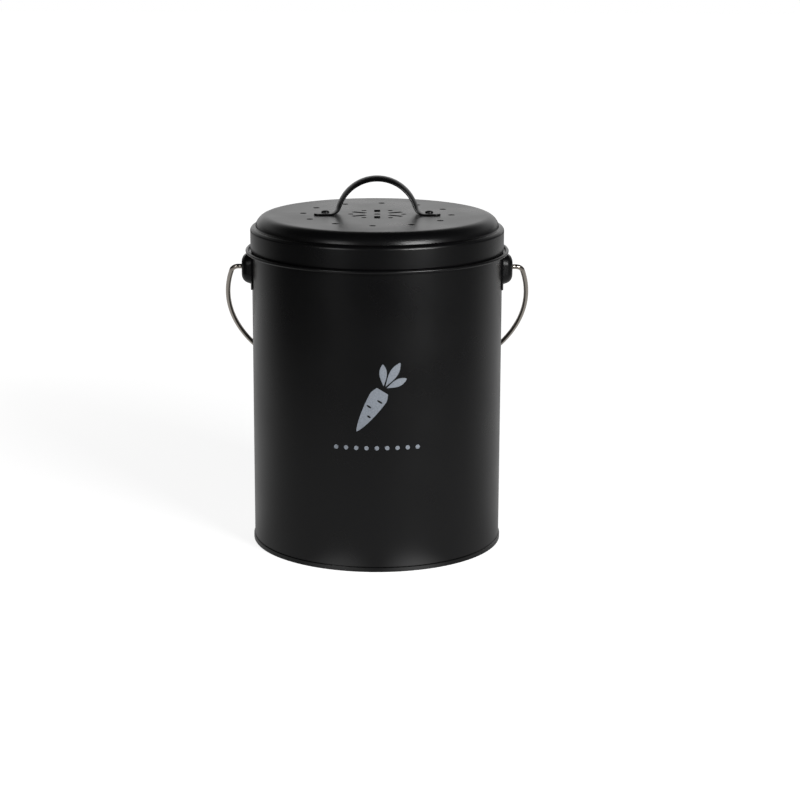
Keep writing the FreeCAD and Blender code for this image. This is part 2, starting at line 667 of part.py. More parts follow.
def make_strap():
    """Foot, hollow bend, the stretch where the section is pressed, and the arch; then the other side."""
    arch, bend = size.arch_radius.value, size.foot_bend.value
    arch_middle = FreeCAD.Vector(0, 0, arch_centre_height.value)
    bend_middle = FreeCAD.Vector(foot_bend_place.value, 0, foot_top.value + bend)
    meet = math.atan2(bend_middle.x, bend_middle.z - arch_middle.z)
    pressed = math.radians(size.press_angle.value)
    shares = [step / BEND_STEPS for step in range(BEND_STEPS + 1)]
    bend_share = bend * meet / (bend * meet + arch * pressed)
    eased = [[share ** 2 * (3.0 - 2.0 * share) for share in stretch] for stretch in (
        [bend_share * share for share in shares],
        [bend_share + (1.0 - bend_share) * share for share in shares])]
    low = strap_stretch([meet * share for share in shares], bend_middle, bend, True, eased[0])
    high = strap_stretch([meet - pressed * share for share in shares], arch_middle, arch, False, eased[1])
    foot = Part.Face(low[0]).extrude(FreeCAD.Vector(foot_end.value - bend_middle.x, 0, 0))
    side = [foot, Part.makeLoft(low, True, False), Part.makeLoft(high, True, False)]
    other_side = [piece.mirror(FreeCAD.Vector(), FreeCAD.Vector(1, 0, 0)) for piece in side]
    across = -2.0 * math.degrees(meet - pressed)
    crown = Part.Face(high[-1]).revolve(arch_middle, FreeCAD.Vector(0, 1, 0), across)
    return crown.multiFuse(side + other_side)


def make_lid_handle():
    """Strap handle: its arch is pressed to a bowed section that runs out flat at the riveted feet."""
    half_length, half_width = foot_end.value, size.strap_width.value / 2.0
    height = size.arch_rise.value + CUT_PAST * 2.0
    plan = Part.makeBox(2.0 * half_length, 2.0 * half_width, height,
                        FreeCAD.Vector(-half_length, -half_width, lid_top.value - CUT_PAST))
    upright = [edge for edge in plan.Edges if abs(edge.Vertexes[0].Z - edge.Vertexes[1].Z) > NEARLY_ZERO]
    strap = make_strap().common(plan.makeFillet(size.foot_corner.value, upright))
    for side in (-1, 1):
        place = FreeCAD.Vector(side * rivet_place.value, 0, lid_top.value - CUT_PAST)
        strap = strap.cut(Part.makeCylinder(rivet_hole.value / 2.0, size.strap_sheet.value + 2.0 * CUT_PAST, place))
    handle = doc.addObject("Part::Feature", "lid_handle")
    handle.Label = "lid_handle"
    handle.Shape = strap.Solids[0]
    handle.Placement = FreeCAD.Placement()
    sub_parts.append(handle)


def make_pair(label, corners):
    """Two like turned pieces, one on each side of the lid, at the rivets' places."""
    body = new_body(label)
    body.AllowCompound = True
    piece = revolved(body, "piece", corners, x=rivet_place)
    round_pattern(body, "pair", piece, as_size(2))


def make_rivets():
    """Round-headed rivets through the handle, the lid, the collar and the washers."""
    head, shank, tail = size.rivet_head * 0.5, size.rivet_shank * 0.5, size.rivet_tail * 0.5
    make_pair("handle_rivets", [
        (0, tail_foot, 0),
        (tail, tail_foot, 0),
        (tail, washer_foot, 0),
        (shank, washer_foot, 0),
        (shank, foot_top, 0),
        (head, foot_top, 0),
        (head, foot_top + size.rivet_head_depth, size.rivet_head_round),
        (0, foot_top + size.rivet_head_depth, 0),
    ])


def make_washers():
    """Washers that spread the rivets' tails on the plastic collar."""
    inside, outside = rivet_hole * 0.5, size.washer_width * 0.5
    make_pair("rivet_washers", [
        (inside, washer_foot, 0),
        (outside, washer_foot, 0),
        (outside, bar_foot, 0),
        (inside, bar_foot, 0),
    ])


# Filter

def make_filter_collar():
    """Plastic ring under the lid with two bars that the rivets hold; the bars miss the vents."""
    body = new_body("filter_collar")
    revolved(body, "ring", [
        (collar_inside, collar_foot, 0),
        (collar_outside, collar_foot, 0),
        (collar_outside, lid_underside, 0),
        (collar_inside, lid_underside, 0),
    ])
    sketch = new_sketch(body, "bar_outline", "XY_Plane", z=lid_underside)
    half = size.collar_bar * 0.5
    reach = other_side(collar_inside + size.collar_wall * 0.5, rivet_place + half)
    rectangle(sketch, rivet_place - half, rivet_place + half, -reach, reach)
    bar = feature(body, "Pad", "bar", Profile=sketch, Length=size.collar_bar_depth, Reversed=True)
    round_pattern(body, "bars", bar, as_size(2))
    punched(body, "rivet_hole", lid_underside + CUT_PAST, size.collar_bar_depth + CUT_PAST * 2.0, rivet_holes)


def make_filter_tray():
    """Plastic tray that pushes up into the collar; its floor is slotted and its lip is pulled to free it."""
    body = new_body("filter_tray")
    lip = collar_outside + size.tray_lip
    floor_foot = tray_floor - size.tray_wall
    edge = bar_foot - size.tray_bar_gap
    revolved(body, "cup", [
        (0, floor_foot, 0),
        (lip, floor_foot, 0),
        (lip, tray_floor, 0),
        (tray_radius, tray_floor, 0),
        (tray_radius, edge, 0),
        (tray_inside, edge, 0),
        (tray_inside, tray_floor, 0),
        (0, tray_floor, 0),
    ])
    half = size.tray_slot_width * 0.5

    def middle(sketch):
        circle(sketch, 0, 0, size.tray_hole)

    def slot(sketch):
        rectangle(sketch, size.tray_slot_start, tray_inside - size.tray_slot_edge, -half, half)

    height = tray_floor + CUT_PAST
    depth = size.tray_wall + CUT_PAST * 2.0
    punched(body, "middle_hole", height, depth, middle)
    punched(body, "floor_slot", height, depth, slot, size.tray_slot_count)


def make_charcoal_filter():
    """Felt pad that lies in the tray."""
    radius = tray_inside - size.pad_play
    top = tail_foot - size.pad_rivet_gap
    revolved(new_body("charcoal_filter"), "pad", [
        (0, tray_floor, 0),
        (radius, tray_floor, size.pad_round),
        (radius, top, size.pad_round),
        (0, top, 0),
    ])


def check_and_write():
    """Stops on any failed object or shape, then writes each sub-part to its own file."""
    doc.recompute()
    for item in doc.Objects:
        if "Invalid" in item.State or "Error" in item.State:
            raise RuntimeError(f"{item.Name} failed: {item.State}")
    for part in sub_parts:
        if part.Shape.isNull() or not part.Shape.isValid() or not part.Shape.Solids:
            raise RuntimeError(f"{part.Label} has no valid solid")
    os.makedirs("parts", exist_ok=True)
    for part in sub_parts:
        part.Shape.exportStep(f"parts/{part.Label}.step")
        box = part.Shape.BoundBox
        print(f"{part.Label}: {len(part.Shape.Solids)} solids, {part.Shape.Volume:.1f} mm3, "
              f"z {box.ZMin:.2f} to {box.ZMax:.2f}, x {box.XMin:.2f} to {box.XMax:.2f}, "
              f"y {box.YMin:.2f} to {box.YMax:.2f}")


make_bucket_wall()
make_base_pan()
make_ear("right_ear", 0.0)
make_ear("left_ear", 180.0)
make_bail()
make_liner()
make_lid_shell()
make_lid_handle()
make_rivets()
make_washers()
make_filter_collar()
make_filter_tray()
make_charcoal_filter()
check_and_write()
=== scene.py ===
"""Looks of a kitchen compost bucket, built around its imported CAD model.

The file is laid out as an add-on and run as a script. Sizes and colours are properties, each piece or
group of like pieces has an operator, and main() calls the operators in order.
"""
import json
import math

import bmesh
import bpy
from bpy.props import FloatProperty, FloatVectorProperty, IntProperty, PointerProperty
from mathutils import Matrix, Vector, noise


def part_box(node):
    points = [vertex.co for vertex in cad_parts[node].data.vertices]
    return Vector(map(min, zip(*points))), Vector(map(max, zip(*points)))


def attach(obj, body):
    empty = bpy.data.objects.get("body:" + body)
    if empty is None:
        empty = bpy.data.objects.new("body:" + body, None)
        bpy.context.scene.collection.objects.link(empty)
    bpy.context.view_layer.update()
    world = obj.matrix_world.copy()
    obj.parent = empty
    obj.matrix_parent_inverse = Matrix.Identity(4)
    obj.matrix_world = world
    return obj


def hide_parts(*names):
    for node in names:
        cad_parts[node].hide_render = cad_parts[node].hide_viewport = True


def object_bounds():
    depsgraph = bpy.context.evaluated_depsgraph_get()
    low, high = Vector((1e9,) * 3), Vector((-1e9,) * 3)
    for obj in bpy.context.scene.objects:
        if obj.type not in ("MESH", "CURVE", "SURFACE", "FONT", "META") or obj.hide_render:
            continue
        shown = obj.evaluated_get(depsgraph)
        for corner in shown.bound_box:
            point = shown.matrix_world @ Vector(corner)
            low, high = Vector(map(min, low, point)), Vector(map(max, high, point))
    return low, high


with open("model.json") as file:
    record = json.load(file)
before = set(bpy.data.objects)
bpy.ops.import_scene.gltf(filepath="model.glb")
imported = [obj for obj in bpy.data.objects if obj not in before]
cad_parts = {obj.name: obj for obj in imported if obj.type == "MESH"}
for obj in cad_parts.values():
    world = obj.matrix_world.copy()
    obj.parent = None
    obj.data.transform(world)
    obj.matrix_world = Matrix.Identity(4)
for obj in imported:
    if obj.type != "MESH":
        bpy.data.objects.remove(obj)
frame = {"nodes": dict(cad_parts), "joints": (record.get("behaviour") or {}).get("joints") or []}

bl_info = {
    "name": "Compost bucket",
    "version": (1, 0, 0),
    "blender": (4, 5, 0),
    "location": "View3D > Sidebar > Compost bucket",
    "description": "Finishes, printed motif, felt filter and studio of a kitchen compost bucket",
    "category": "Object",
}

MM = 0.001
NEARLY_ZERO = 1e-7
MERGE_DISTANCE = 1e-6

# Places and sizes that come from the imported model
cad_low, cad_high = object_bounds()
wall_low, wall_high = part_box("bucket_wall")
seam_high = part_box("base_pan")[1]
lid_low, lid_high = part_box("lid_shell")
strap_low, strap_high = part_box("lid_handle")
rivet_low, rivet_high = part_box("handle_rivets")
washer_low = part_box("rivet_washers")[0]
wire_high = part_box("bail_wire")[1]
pad_low, pad_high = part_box("charcoal_filter")
pivot = next(Vector(joint["pos_m"]) for joint in frame["joints"] if joint["name"] == "bail_swing")

# The folded seam of the base stands proud of the wall by this much
SEAM_LAP = 0.75 * MM
# Length over which an upset head of the bail steps down to the wire
HEAD_STEP = 0.01 * MM
# Corner rounding of the rolled rim, as a share of its width: just short of a full round
ROLL_ROUNDNESS = 0.48
# How far the side of the lid's raised top leans in, as a share of its height: 10 degrees
SHOULDER_LEAN = math.tan(math.radians(10.0))
# How far a sheet's corners shift at that lean and at a 45 degree bend, as a share of its thickness
SHOULDER_MITRE = math.tan(math.radians(40.0))
MITRE_45 = math.tan(math.radians(22.5))
# Vents of the lid: the outer ring and its turn, and the slots with as many small vents between them
VENT_COUNT, VENT_TURN = 12, math.radians(-3.5)
SLOT_COUNT = 6
# The printed carrot: how far along its root each slit lies and on which side, and the lean in degrees,
# the length and the width of each leaf
CARROT_SLITS = ((0.22, 1.0), (0.42, -1.0), (0.6, 1.0))
CARROT_LEAVES = ((-34.0, 15.0 * MM, 5.0 * MM), (0.0, 19.0 * MM, 5.6 * MM), (34.0, 15.0 * MM, 5.0 * MM))
# Sides of the round shapes
SHEET_SIDES, PAD_SIDES, VENT_SIDES, RIVET_SIDES, DOT_SIDES, WIRE_SIDES = 256, 160, 40, 32, 28, 20
# Rings this near to the ends of a straight stretch keep smooth shading flat along it
SUPPORT_GAP = 0.2 * MM


def linear(hex_colour):
    """Linear colour of an sRGB hex value."""
    shares = [int(hex_colour[place:place + 2], 16) / 255.0 for place in (1, 3, 5)]
    return tuple(share / 12.92 if share <= 0.04045 else ((share + 0.055) / 1.055) ** 2.4 for share in shares)


def length(name, description, default):
    """A size in metres that the user can change."""
    return FloatProperty(name=name, description=description, default=default, precision=5,
                         min=0.0, subtype="DISTANCE", unit="LENGTH")


def colour(name, description, hex_colour):
    """A colour that the user can change."""
    return FloatVectorProperty(name=name, description=description, default=linear(hex_colour),
                               size=3, min=0.0, max=1.0, subtype="COLOR")


class BucketSizes(bpy.types.PropertyGroup):
    """Sizes of the pieces that are made here"""
    wall_radius: length("Wall radius", "Outside of the bucket's wall", seam_high.x - SEAM_LAP)
    wall_sheet: length("Wall sheet", "Thickness of the bucket's wall", 0.6 * MM)
    rim_roll: length("Rim roll", "Width and height of the roll along the rim's edge", 2.2 * MM)
    flange_bend: length("Flange bend", "Hollow bend between the wall and its flange", 0.4 * MM)
    skirt_overhang: length("Skirt overhang", "How far the lid's skirt stands out past the wall", 1.0 * MM)
    skirt_height: length("Skirt height", "From the neck of the lid to its ledge", 15.7 * MM)
    plug_gap: length("Plug gap", "Radial play of the lid's plug in the mouth", 0.5 * MM)
    neck_round: length("Neck round", "Rounding at the top of the lid's neck", 2.0 * MM)
    neck_hollow: length("Neck hollow", "Rounding at the foot of the lid's neck", 1.2 * MM)
    ledge_round: length("Ledge round", "Rounding at the edge of the lid's ledge", 2.5 * MM)
    ledge_width: length("Ledge width", "Ledge between the skirt and the raised top", 3.6 * MM)
    shoulder_height: length("Shoulder height", "From the ledge to the raised top of the lid", 8.2 * MM)
    shoulder_hollow: length("Shoulder hollow", "Rounding at the foot of the raised top", 0.9 * MM)
    shoulder_round: length("Shoulder round", "Rounding at the edge of the raised top", 9.0 * MM)
    vent_hole: length("Vent", "Diameter of the vents in the middle and the outer ring", 4.7 * MM)
    vent_ring: length("Vent ring", "Radius of the outer ring of vents", 51.7 * MM)
    small_vent: length("Small vent", "Diameter of the vents between the slots", 3.8 * MM)
    small_ring: length("Small ring", "Radius of the ring of small vents", 18.5 * MM)
    slot_width: length("Slot width", "Width of a vent slot", 4.2 * MM)
    slot_start: length("Slot start", "Inner end of a vent slot from the middle", 9.3 * MM)
    slot_end: length("Slot end", "Outer end of a vent slot from the middle", 19.8 * MM)
    strap_sheet: length("Strap sheet", "Thickness of the lid's strap handle", 1.2 * MM)
    strap_edge: length("Strap edge", "Rounding along the strap's edges", 0.45 * MM)
    strap_bow: length("Strap bow", "How far the arch's edges are pressed down", 2.2 * MM)
    arch_radius: length("Arch radius", "Outside of the handle's arch", 29.4 * MM)
    foot_bend: length("Foot bend", "Hollow bend between the arch and a foot", 5.0 * MM)
    foot_corner: length("Foot corner", "Corner radius of a foot", 4.0 * MM)
    press_angle: FloatProperty(name="Press angle", description="Part of the arch over which it becomes bowed",
                               default=math.radians(4.0), subtype="ANGLE", unit="ROTATION")
    rivet_head: length("Rivet head", "Diameter of a rivet's round head", 5.6 * MM)
    rivet_shank: length("Rivet shank", "Diameter of a rivet's shank", 3.2 * MM)
    rivet_tail: length("Rivet tail", "Diameter of a rivet's closed tail", 5.2 * MM)
    wire_diameter: length("Wire diameter", "Thickness of the bail's wire", 3.4 * MM)
    wire_head: length("Wire head", "Diameter of the upset ends of the wire", 6.4 * MM)
    wire_head_depth: length("Wire head depth", "Thickness of the upset ends", 1.5 * MM)
    bail_bend: length("Bail bend", "Bend of the wire beside an ear", 5.0 * MM)
    bail_drop: length("Bail drop", "Middle of the bail's long arc, below its pivots", 32.7 * MM)
    ink_film: length("Ink film", "Thickness of the printed ink", 0.03 * MM)
    motif_height: length("Motif height", "Middle of the printed motif above the base", 121.0 * MM)
    dot_height: length("Dot height", "Row of printed dots above the base", 87.5 * MM)
    dot_diameter: length("Dot diameter", "Diameter of a printed dot", 3.0 * MM)
    dot_pitch: length("Dot pitch", "Distance between printed dots", 7.0 * MM)
    dot_count: IntProperty(name="Dots", description="Number of printed dots", default=9, min=2)
    felt_edge: length("Felt edge", "Rounding of the filter pad's rim", 2.4 * MM)
    felt_lump: length("Felt lump", "Unevenness of the filter pad", 0.35 * MM)


class BucketColours(bpy.types.PropertyGroup):
    """Colours of the finishes"""
    paint: colour("Paint", "Powder coat on the steel", "#0d0d0e")
    ink: colour("Ink", "Printed motif", "#9aa1ab")
    wire: colour("Wire", "Drawn steel of the bail", "#bdb6ad")
    zinc: colour("Zinc", "Plating of the washers", "#aeb1b3")
    liner: colour("Liner", "Polypropylene of the lift-out liner", "#3e3f41")
    tray: colour("Tray", "Polypropylene of the filter's tray and collar", "#262627")
    felt: colour("Felt", "Charcoal felt of the filter", "#161616")
    floor: colour("Floor", "Studio floor", "#d8d8d8")


def sizes():
    return bpy.context.scene.bucket_sizes


def colours():
    return bpy.context.scene.bucket_colours


# Nodes and materials

def add_node(tree, kind, settings=None, inputs=None):
    """Adds a node, sets its properties, and sets its inputs to values or links them to sockets."""
    node = tree.nodes.new(kind)
    for name, value in (settings or {}).items():
        setattr(node, name, value)
    for name, value in (inputs or {}).items():
        if isinstance(value, bpy.types.NodeSocket):
            tree.links.new(value, node.inputs[name])
        else:
            node.inputs[name].default_value = value
    return node


def start_material(name, base, **constants):
    """A new material with its main shader's constants; gives the material, its tree and the shader."""
    material = bpy.data.materials.new(name)
    material.use_nodes = True
    tree = material.node_tree
    shader = tree.nodes["Principled BSDF"]
    shader.inputs["Base Color"].default_value = (*base, 1.0)
    for socket, value in constants.items():
        shader.inputs[socket.replace("_", " ")].default_value = value
    return material, tree, shader


def wander(tree, spacing, detail, low, high, place=None):
    """A value that wanders from low to high over patches that far apart, in metres, on Object coordinates."""
    patches = add_node(tree, "ShaderNodeTexNoise", None, {
        "Vector": place or add_node(tree, "ShaderNodeTexCoord").outputs["Object"],
        "Scale": 1.0 / spacing, "Detail": detail})
    # Noise keeps mostly to the middle of its range
    spread = add_node(tree, "ShaderNodeMapRange", None, {
        "Value": patches.outputs["Fac"], "From Min": 0.3, "From Max": 0.7, "To Min": low, "To Max": high})
    return spread.outputs["Result"]


def relief(tree, spacing, detail, depth, place=None, strength=1.0):
    """Bump node of lumps that far apart and that deep, in metres, on Object coordinates or a given place."""
    lumps = add_node(tree, "ShaderNodeTexNoise", None, {
        "Vector": place or add_node(tree, "ShaderNodeTexCoord").outputs["Object"],
        "Scale": 1.0 / spacing, "Detail": detail})
    return add_node(tree, "ShaderNodeBump", None, {
        "Strength": strength, "Distance": depth, "Height": lumps.outputs["Fac"]})


def powder_coat():
    """Polyester powder baked on steel sheet: a deep satin black with a fine orange peel."""
    made = bpy.data.materials.get("satin_powder_coat")
    if made:
        return made
    made, tree, shader = start_material("satin_powder_coat", colours().paint, IOR=1.45)
    # The film levels out in ripples of about 1.4 mm, and single grains show at about 0.5 mm
    peel = relief(tree, 1.4 * MM, 2.0, 0.006 * MM)
    grain = relief(tree, 0.5 * MM, 1.0, 0.002 * MM)
    tree.links.new(peel.outputs["Normal"], grain.inputs["Normal"])
    tree.links.new(grain.outputs["Normal"], shader.inputs["Normal"])
    # Handling leaves broad patches a little duller
    tree.links.new(wander(tree, 38.0 * MM, 3.0, 0.26, 0.32), shader.inputs["Roughness"])
    return made


def screen_ink():
    """Screen-printed enamel ink: a thin matt film, a little uneven where the mesh laid it down."""
    made = bpy.data.materials.get("pale_screen_ink")
    if made:
        return made
    made, tree, shader = start_material("pale_screen_ink", colours().ink, IOR=1.45, Roughness=0.5)
    pale = tuple(min(1.0, share * 1.12) for share in colours().ink)
    worn = tuple(share * 0.84 for share in colours().ink)
    # The screen's threads leave marks about 0.9 mm apart
    blend = add_node(tree, "ShaderNodeMix", {"data_type": "RGBA"}, {
        0: wander(tree, 0.9 * MM, 3.0, 0.0, 1.0), 6: (*worn, 1.0), 7: (*pale, 1.0)})
    tree.links.new(blend.outputs[2], shader.inputs["Base Color"])
    return made


def drawn_steel():
    """Bright wire pulled through a die: long fine scratches run along it and stretch its highlights."""
    made, tree, shader = start_material("bright_drawn_steel", colours().wire, Metallic=1.0)
    # Die lines are about 0.03 mm apart, drawn coarser here so that they show
    drawn = add_node(tree, "ShaderNodeAttribute", {"attribute_name": "drawn"}).outputs["Vector"]
    lines = relief(tree, 0.25 * MM, 3.0, 0.004 * MM, drawn, 0.6)
    tree.links.new(wander(tree, 0.25 * MM, 3.0, 0.12, 0.24, drawn), shader.inputs["Roughness"])
    tree.links.new(lines.outputs["Normal"], shader.inputs["Normal"])
    return made


def zinc_plate():
    """Zinc-plated stamped steel: a cool grey metal with a soft cloudy sheen."""
    made, tree, shader = start_material("zinc_plated_steel", colours().zinc, Metallic=1.0)
    tree.links.new(wander(tree, 1.6 * MM, 4.0, 0.32, 0.5), shader.inputs["Roughness"])
    return made


def moulded_plastic(name, base):
    """Polypropylene from a spark-eroded mould: waxy, evenly pebbled and softly glossy."""
    made, tree, shader = start_material(name, base, IOR=1.49)
    # Pebbles of the eroded mould are about 0.6 mm apart, and marks of the melt's flow about 24 mm
    pebbles = relief(tree, 0.6 * MM, 2.0, 0.008 * MM)
    tree.links.new(wander(tree, 24.0 * MM, 2.0, 0.42, 0.54), shader.inputs["Roughness"])
    tree.links.new(pebbles.outputs["Normal"], shader.inputs["Normal"])
    return made


def charcoal_felt():
    """Needle-punched felt loaded with charcoal: dull black, with matted fibres and a faint fuzz of light."""
    made, tree, shader = start_material("needled_charcoal_felt", colours().felt, Roughness=0.95, IOR=1.45,
                                        Sheen_Weight=0.25, Sheen_Roughness=0.5)
    # Fibres are about 0.04 mm thick and lie in tufts; the tufts are what shows
    tufts = relief(tree, 1.1 * MM, 6.0, 0.15 * MM)
    grit = add_node(tree, "ShaderNodeTexVoronoi", None, {
        "Vector": add_node(tree, "ShaderNodeTexCoord").outputs["Object"], "Scale": 1.0 / (0.8 * MM)})
    dark = tuple(share * 0.45 for share in colours().felt)
    light = tuple(share * 1.9 for share in colours().felt)
    blend = add_node(tree, "ShaderNodeMix", {"data_type": "RGBA"}, {
        0: wander(tree, 1.1 * MM, 6.0, 0.0, 1.0), 6: (*dark, 1.0), 7: (*light, 1.0)})
    gritty = add_node(tree, "ShaderNodeBump", None, {
        "Strength": 0.5, "Distance": 0.06 * MM, "Height": grit.outputs["Distance"],
        "Normal": tufts.outputs["Normal"]})
    tree.links.new(blend.outputs[2], shader.inputs["Base Color"])
    tree.links.new(gritty.outputs["Normal"], shader.inputs["Normal"])
    return made


# Meshes and pieces

def rounded(corners, steps=6):
    """Points of an outline given as (radius, height, rounding) corners, with its roundings as arcs."""
    points = []
    for index, (radius, height, rounding) in enumerate(corners):
        corner = Vector((radius, height))
        if rounding < NEARLY_ZERO:
            points.append(corner)
            continue
        before = (Vector(corners[index - 1][:2]) - corner).normalized()
        after = (Vector(corners[index + 1][:2]) - corner).normalized()
        half_angle = before.angle(after) / 2.0
        middle = corner + (before + after).normalized() * rounding / math.sin(half_angle)
        start = corner + before * rounding / math.tan(half_angle) - middle
        turn = math.pi - 2.0 * half_angle
        if before.cross(after) > 0.0:
            turn = -turn
        points += [middle + Matrix.Rotation(turn * step / steps, 2) @ start for step in range(steps + 1)]
    return points


def supported(points):
    """Adds points near both ends of each long straight stretch, which keep smooth shading flat along it."""
    result = [points[0]]
    for start, end in zip(points, points[1:]):
        run = end - start
        if run.length > 4.0 * SUPPORT_GAP:
            inset = run.normalized() * SUPPORT_GAP
            result += [start + inset, end - inset]
        result.append(end)
    return result


def lathe(name, outline, sides):
    """Closed mesh of an outline turned about the Z axis. It starts and ends on the axis, or at one point."""
    vertices = []
    rings = []
    for radius, height in outline:
        count = 1 if radius < NEARLY_ZERO else sides
        rings.append([len(vertices) + side % count for side in range(sides)])
        for side in range(count):
            turn = 2.0 * math.pi * side / sides
            vertices.append((radius * math.cos(turn), radius * math.sin(turn), height))
    faces = []
    for low, high in zip(rings, rings[1:]):
        for side in range(sides):
            other = (side + 1) % sides
            corners = dict.fromkeys((low[side], low[other], high[other], high[side]))
            if len(corners) > 2:
                faces.append(tuple(corners))
    mesh = bpy.data.meshes.new(name)
    mesh.from_pydata(vertices, [], faces)
    return mesh


def tidy(mesh, sharp_degrees=None):
    """Merges doubles, turns faces outwards and shades the mesh smooth, with sharp edges past an angle."""
    work = bmesh.new()
    work.from_mesh(mesh)
    bmesh.ops.remove_doubles(work, verts=work.verts, dist=MERGE_DISTANCE)
    bmesh.ops.recalc_face_normals(work, faces=work.faces)
    work.to_mesh(mesh)
    work.free()
    mesh.shade_smooth()
    if sharp_degrees:
        mesh.set_sharp_from_angle(angle=math.radians(sharp_degrees))
    return mesh


def add_piece(name, mesh, material, body, slot, *replaced):
    """Puts a finished mesh in the scene on its body and hides the CAD nodes that it stands for. Its slot is
    not used.
    """
    mesh.name = name
    mesh.materials.clear()
    mesh.materials.append(material)
    piece = bpy.data.objects.new(name, mesh)
    bpy.context.scene.collection.objects.link(piece)
    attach(piece, body)
    if replaced:
        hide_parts(*replaced)
    return piece


def dress(material, *nodes):
    """Gives CAD nodes a finished material."""
    for node in nodes:
        frame["nodes"][node].data.materials.clear()
        frame["nodes"][node].data.materials.append(material)


def start_tree(name, inputs):
    """A new Geometry Nodes tree with named inputs, given as name to socket kind."""
    tree = bpy.data.node_groups.new(name, "GeometryNodeTree")
    tree.is_modifier = True
    tree.interface.new_socket("Geometry", in_out="INPUT", socket_type="NodeSocketGeometry")
    for label, kind in inputs.items():
        tree.interface.new_socket(label, in_out="INPUT", socket_type=kind)
    tree.interface.new_socket("Geometry", in_out="OUTPUT", socket_type="NodeSocketGeometry")
    return tree, add_node(tree, "NodeGroupInput").outputs


def end_tree(tree, geometry, material):
    """Ends a tree: instances become mesh, and the mesh gets its material."""
    real = add_node(tree, "GeometryNodeRealizeInstances", None, {"Geometry": geometry})
    painted = add_node(tree, "GeometryNodeSetMaterial", None, {
        "Geometry": real.outputs["Geometry"], "Material": material})
    add_node(tree, "NodeGroupOutput", None, {"Geometry": painted.outputs["Geometry"]})


def run_tree(tree, data, values):
    """Mesh that a tree makes from a mesh or curve, with its inputs set by their sockets' identifiers."""
    holder = bpy.data.objects.new("tree_holder", data)
    bpy.context.scene.collection.objects.link(holder)
    modifier = holder.modifiers.new("tree", "NODES")
    modifier.node_group = tree
    for item in tree.interface.items_tree:
        if item.in_out == "INPUT" and item.name in values:
            modifier[item.identifier] = values[item.name]
    bpy.context.view_layer.update()
    depsgraph = bpy.context.evaluated_depsgraph_get()
    mesh = bpy.data.meshes.new_from_object(holder.evaluated_get(depsgraph))
    holder.modifiers.remove(modifier)
    bpy.data.objects.remove(holder)
    if not mesh.polygons:
        raise RuntimeError(f"the tree {tree.name} made no faces")
    return mesh


# Bucket

class BUCKET_OT_paint_steel(bpy.types.Operator):
    """Gives the base and the ears their powder coat"""
    bl_idname = "bucket.paint_steel"
    bl_label = "Paint the steel"

    def execute(self, context):
        dress(powder_coat(), "base_pan", "right_ear", "left_ear")
        return {"FINISHED"}


class BUCKET_OT_roll_wall(bpy.types.Operator):
    """Makes the straight wall with its flanged and rolled rim"""
    bl_idname = "bucket.roll_wall"
    bl_label = "Roll the wall"

    def execute(self, context):
        size = sizes()
        rim, rim_top = wall_high.y, wall_high.z
        inside = size.wall_radius - size.wall_sheet
        roll_inside = rim - size.rim_roll
        roll_foot = rim_top - size.rim_roll
        roll_round = size.rim_roll * ROLL_ROUNDNESS
        flange_top = roll_foot + size.wall_sheet
        outline = rounded([
            (inside, wall_low.z, 0.0), (size.wall_radius, wall_low.z, 0.0),
            (size.wall_radius, roll_foot, size.flange_bend), (rim, roll_foot, roll_round),
            (rim, rim_top, roll_round), (roll_inside, rim_top, roll_round), (roll_inside, flange_top, 0.0),
            (inside, flange_top, size.flange_bend + size.wall_sheet), (inside, wall_low.z, 0.0)], steps=10)
        mesh = tidy(lathe("wall", supported(outline), SHEET_SIDES), sharp_degrees=40.0)
        add_piece("rolled_wall", mesh, powder_coat(), "bucket", "painted_steel", "bucket_wall")
        return {"FINISHED"}


def carrot_outlines():
    """Flat outlines of a carrot in metres, pointing down: its root, three slits in it, and its leaves."""
    root_length, root_width, slit_width = 33.0 * MM, 13.0 * MM, 1.3 * MM
    steps = 24

    def root_half(share):
        """Half width of the root: full near its head, and drawn out to a blunt tip."""
        return root_width / 2.0 * (1.0 - share ** 1.7) ** 0.75 * min(1.0, 0.62 + 2.6 * share) ** 0.8

    shares = [step / steps for step in range(steps + 1)]
    root = [Vector((root_half(share), -root_length * share)) for share in shares]
    root += [Vector((-point.x, point.y)) for point in reversed(root[:-1])]
    outlines = [root]
    for share, side in CARROT_SLITS:
        inner, outer = side * root_half(share) * 0.05, side * root_half(share) * 0.72
        middle = Vector(((inner + outer) / 2.0, -root_length * share))
        reach = abs(outer - inner) / 2.0
        outlines.append([middle + Vector((reach * math.cos(turn), slit_width / 2.0 * math.sin(turn)))
                         for turn in (2.0 * math.pi * step / steps for step in range(steps))])
    for lean, leaf_length, leaf_width in CARROT_LEAVES:
        turn = Matrix.Rotation(math.radians(lean), 2)
        bottom = Vector((0.0, 1.4 * MM))
        side = [Vector((leaf_width / 2.0 * math.sin(math.pi * share ** 1.3) ** 0.8,
                        2.2 * MM + leaf_length * share)) for share in shares]
        leaf = side + [Vector((-point.x, point.y)) for point in reversed(side[1:-1])]
        outlines.append([bottom + turn @ point for point in leaf])
    return outlines


def flat_print(outlines):
    """Closed flat mesh of outlines, with the ones inside others as holes, as thick as the ink."""
    curve = bpy.data.curves.new("print_outline", "CURVE")
    curve.dimensions = "2D"
    curve.fill_mode = "BOTH"
    curve.extrude = sizes().ink_film / 2.0
    for outline in outlines:
        spline = curve.splines.new("POLY")
        spline.points.add(len(outline) - 1)
        for point, place in zip(spline.points, outline):
            point.co = (place.x, place.y, 0.0, 1.0)
        spline.use_cyclic_u = True
    holder = bpy.data.objects.new("print_outline", curve)
    mesh = bpy.data.meshes.new_from_object(holder)
    bpy.data.objects.remove(holder)
    return mesh


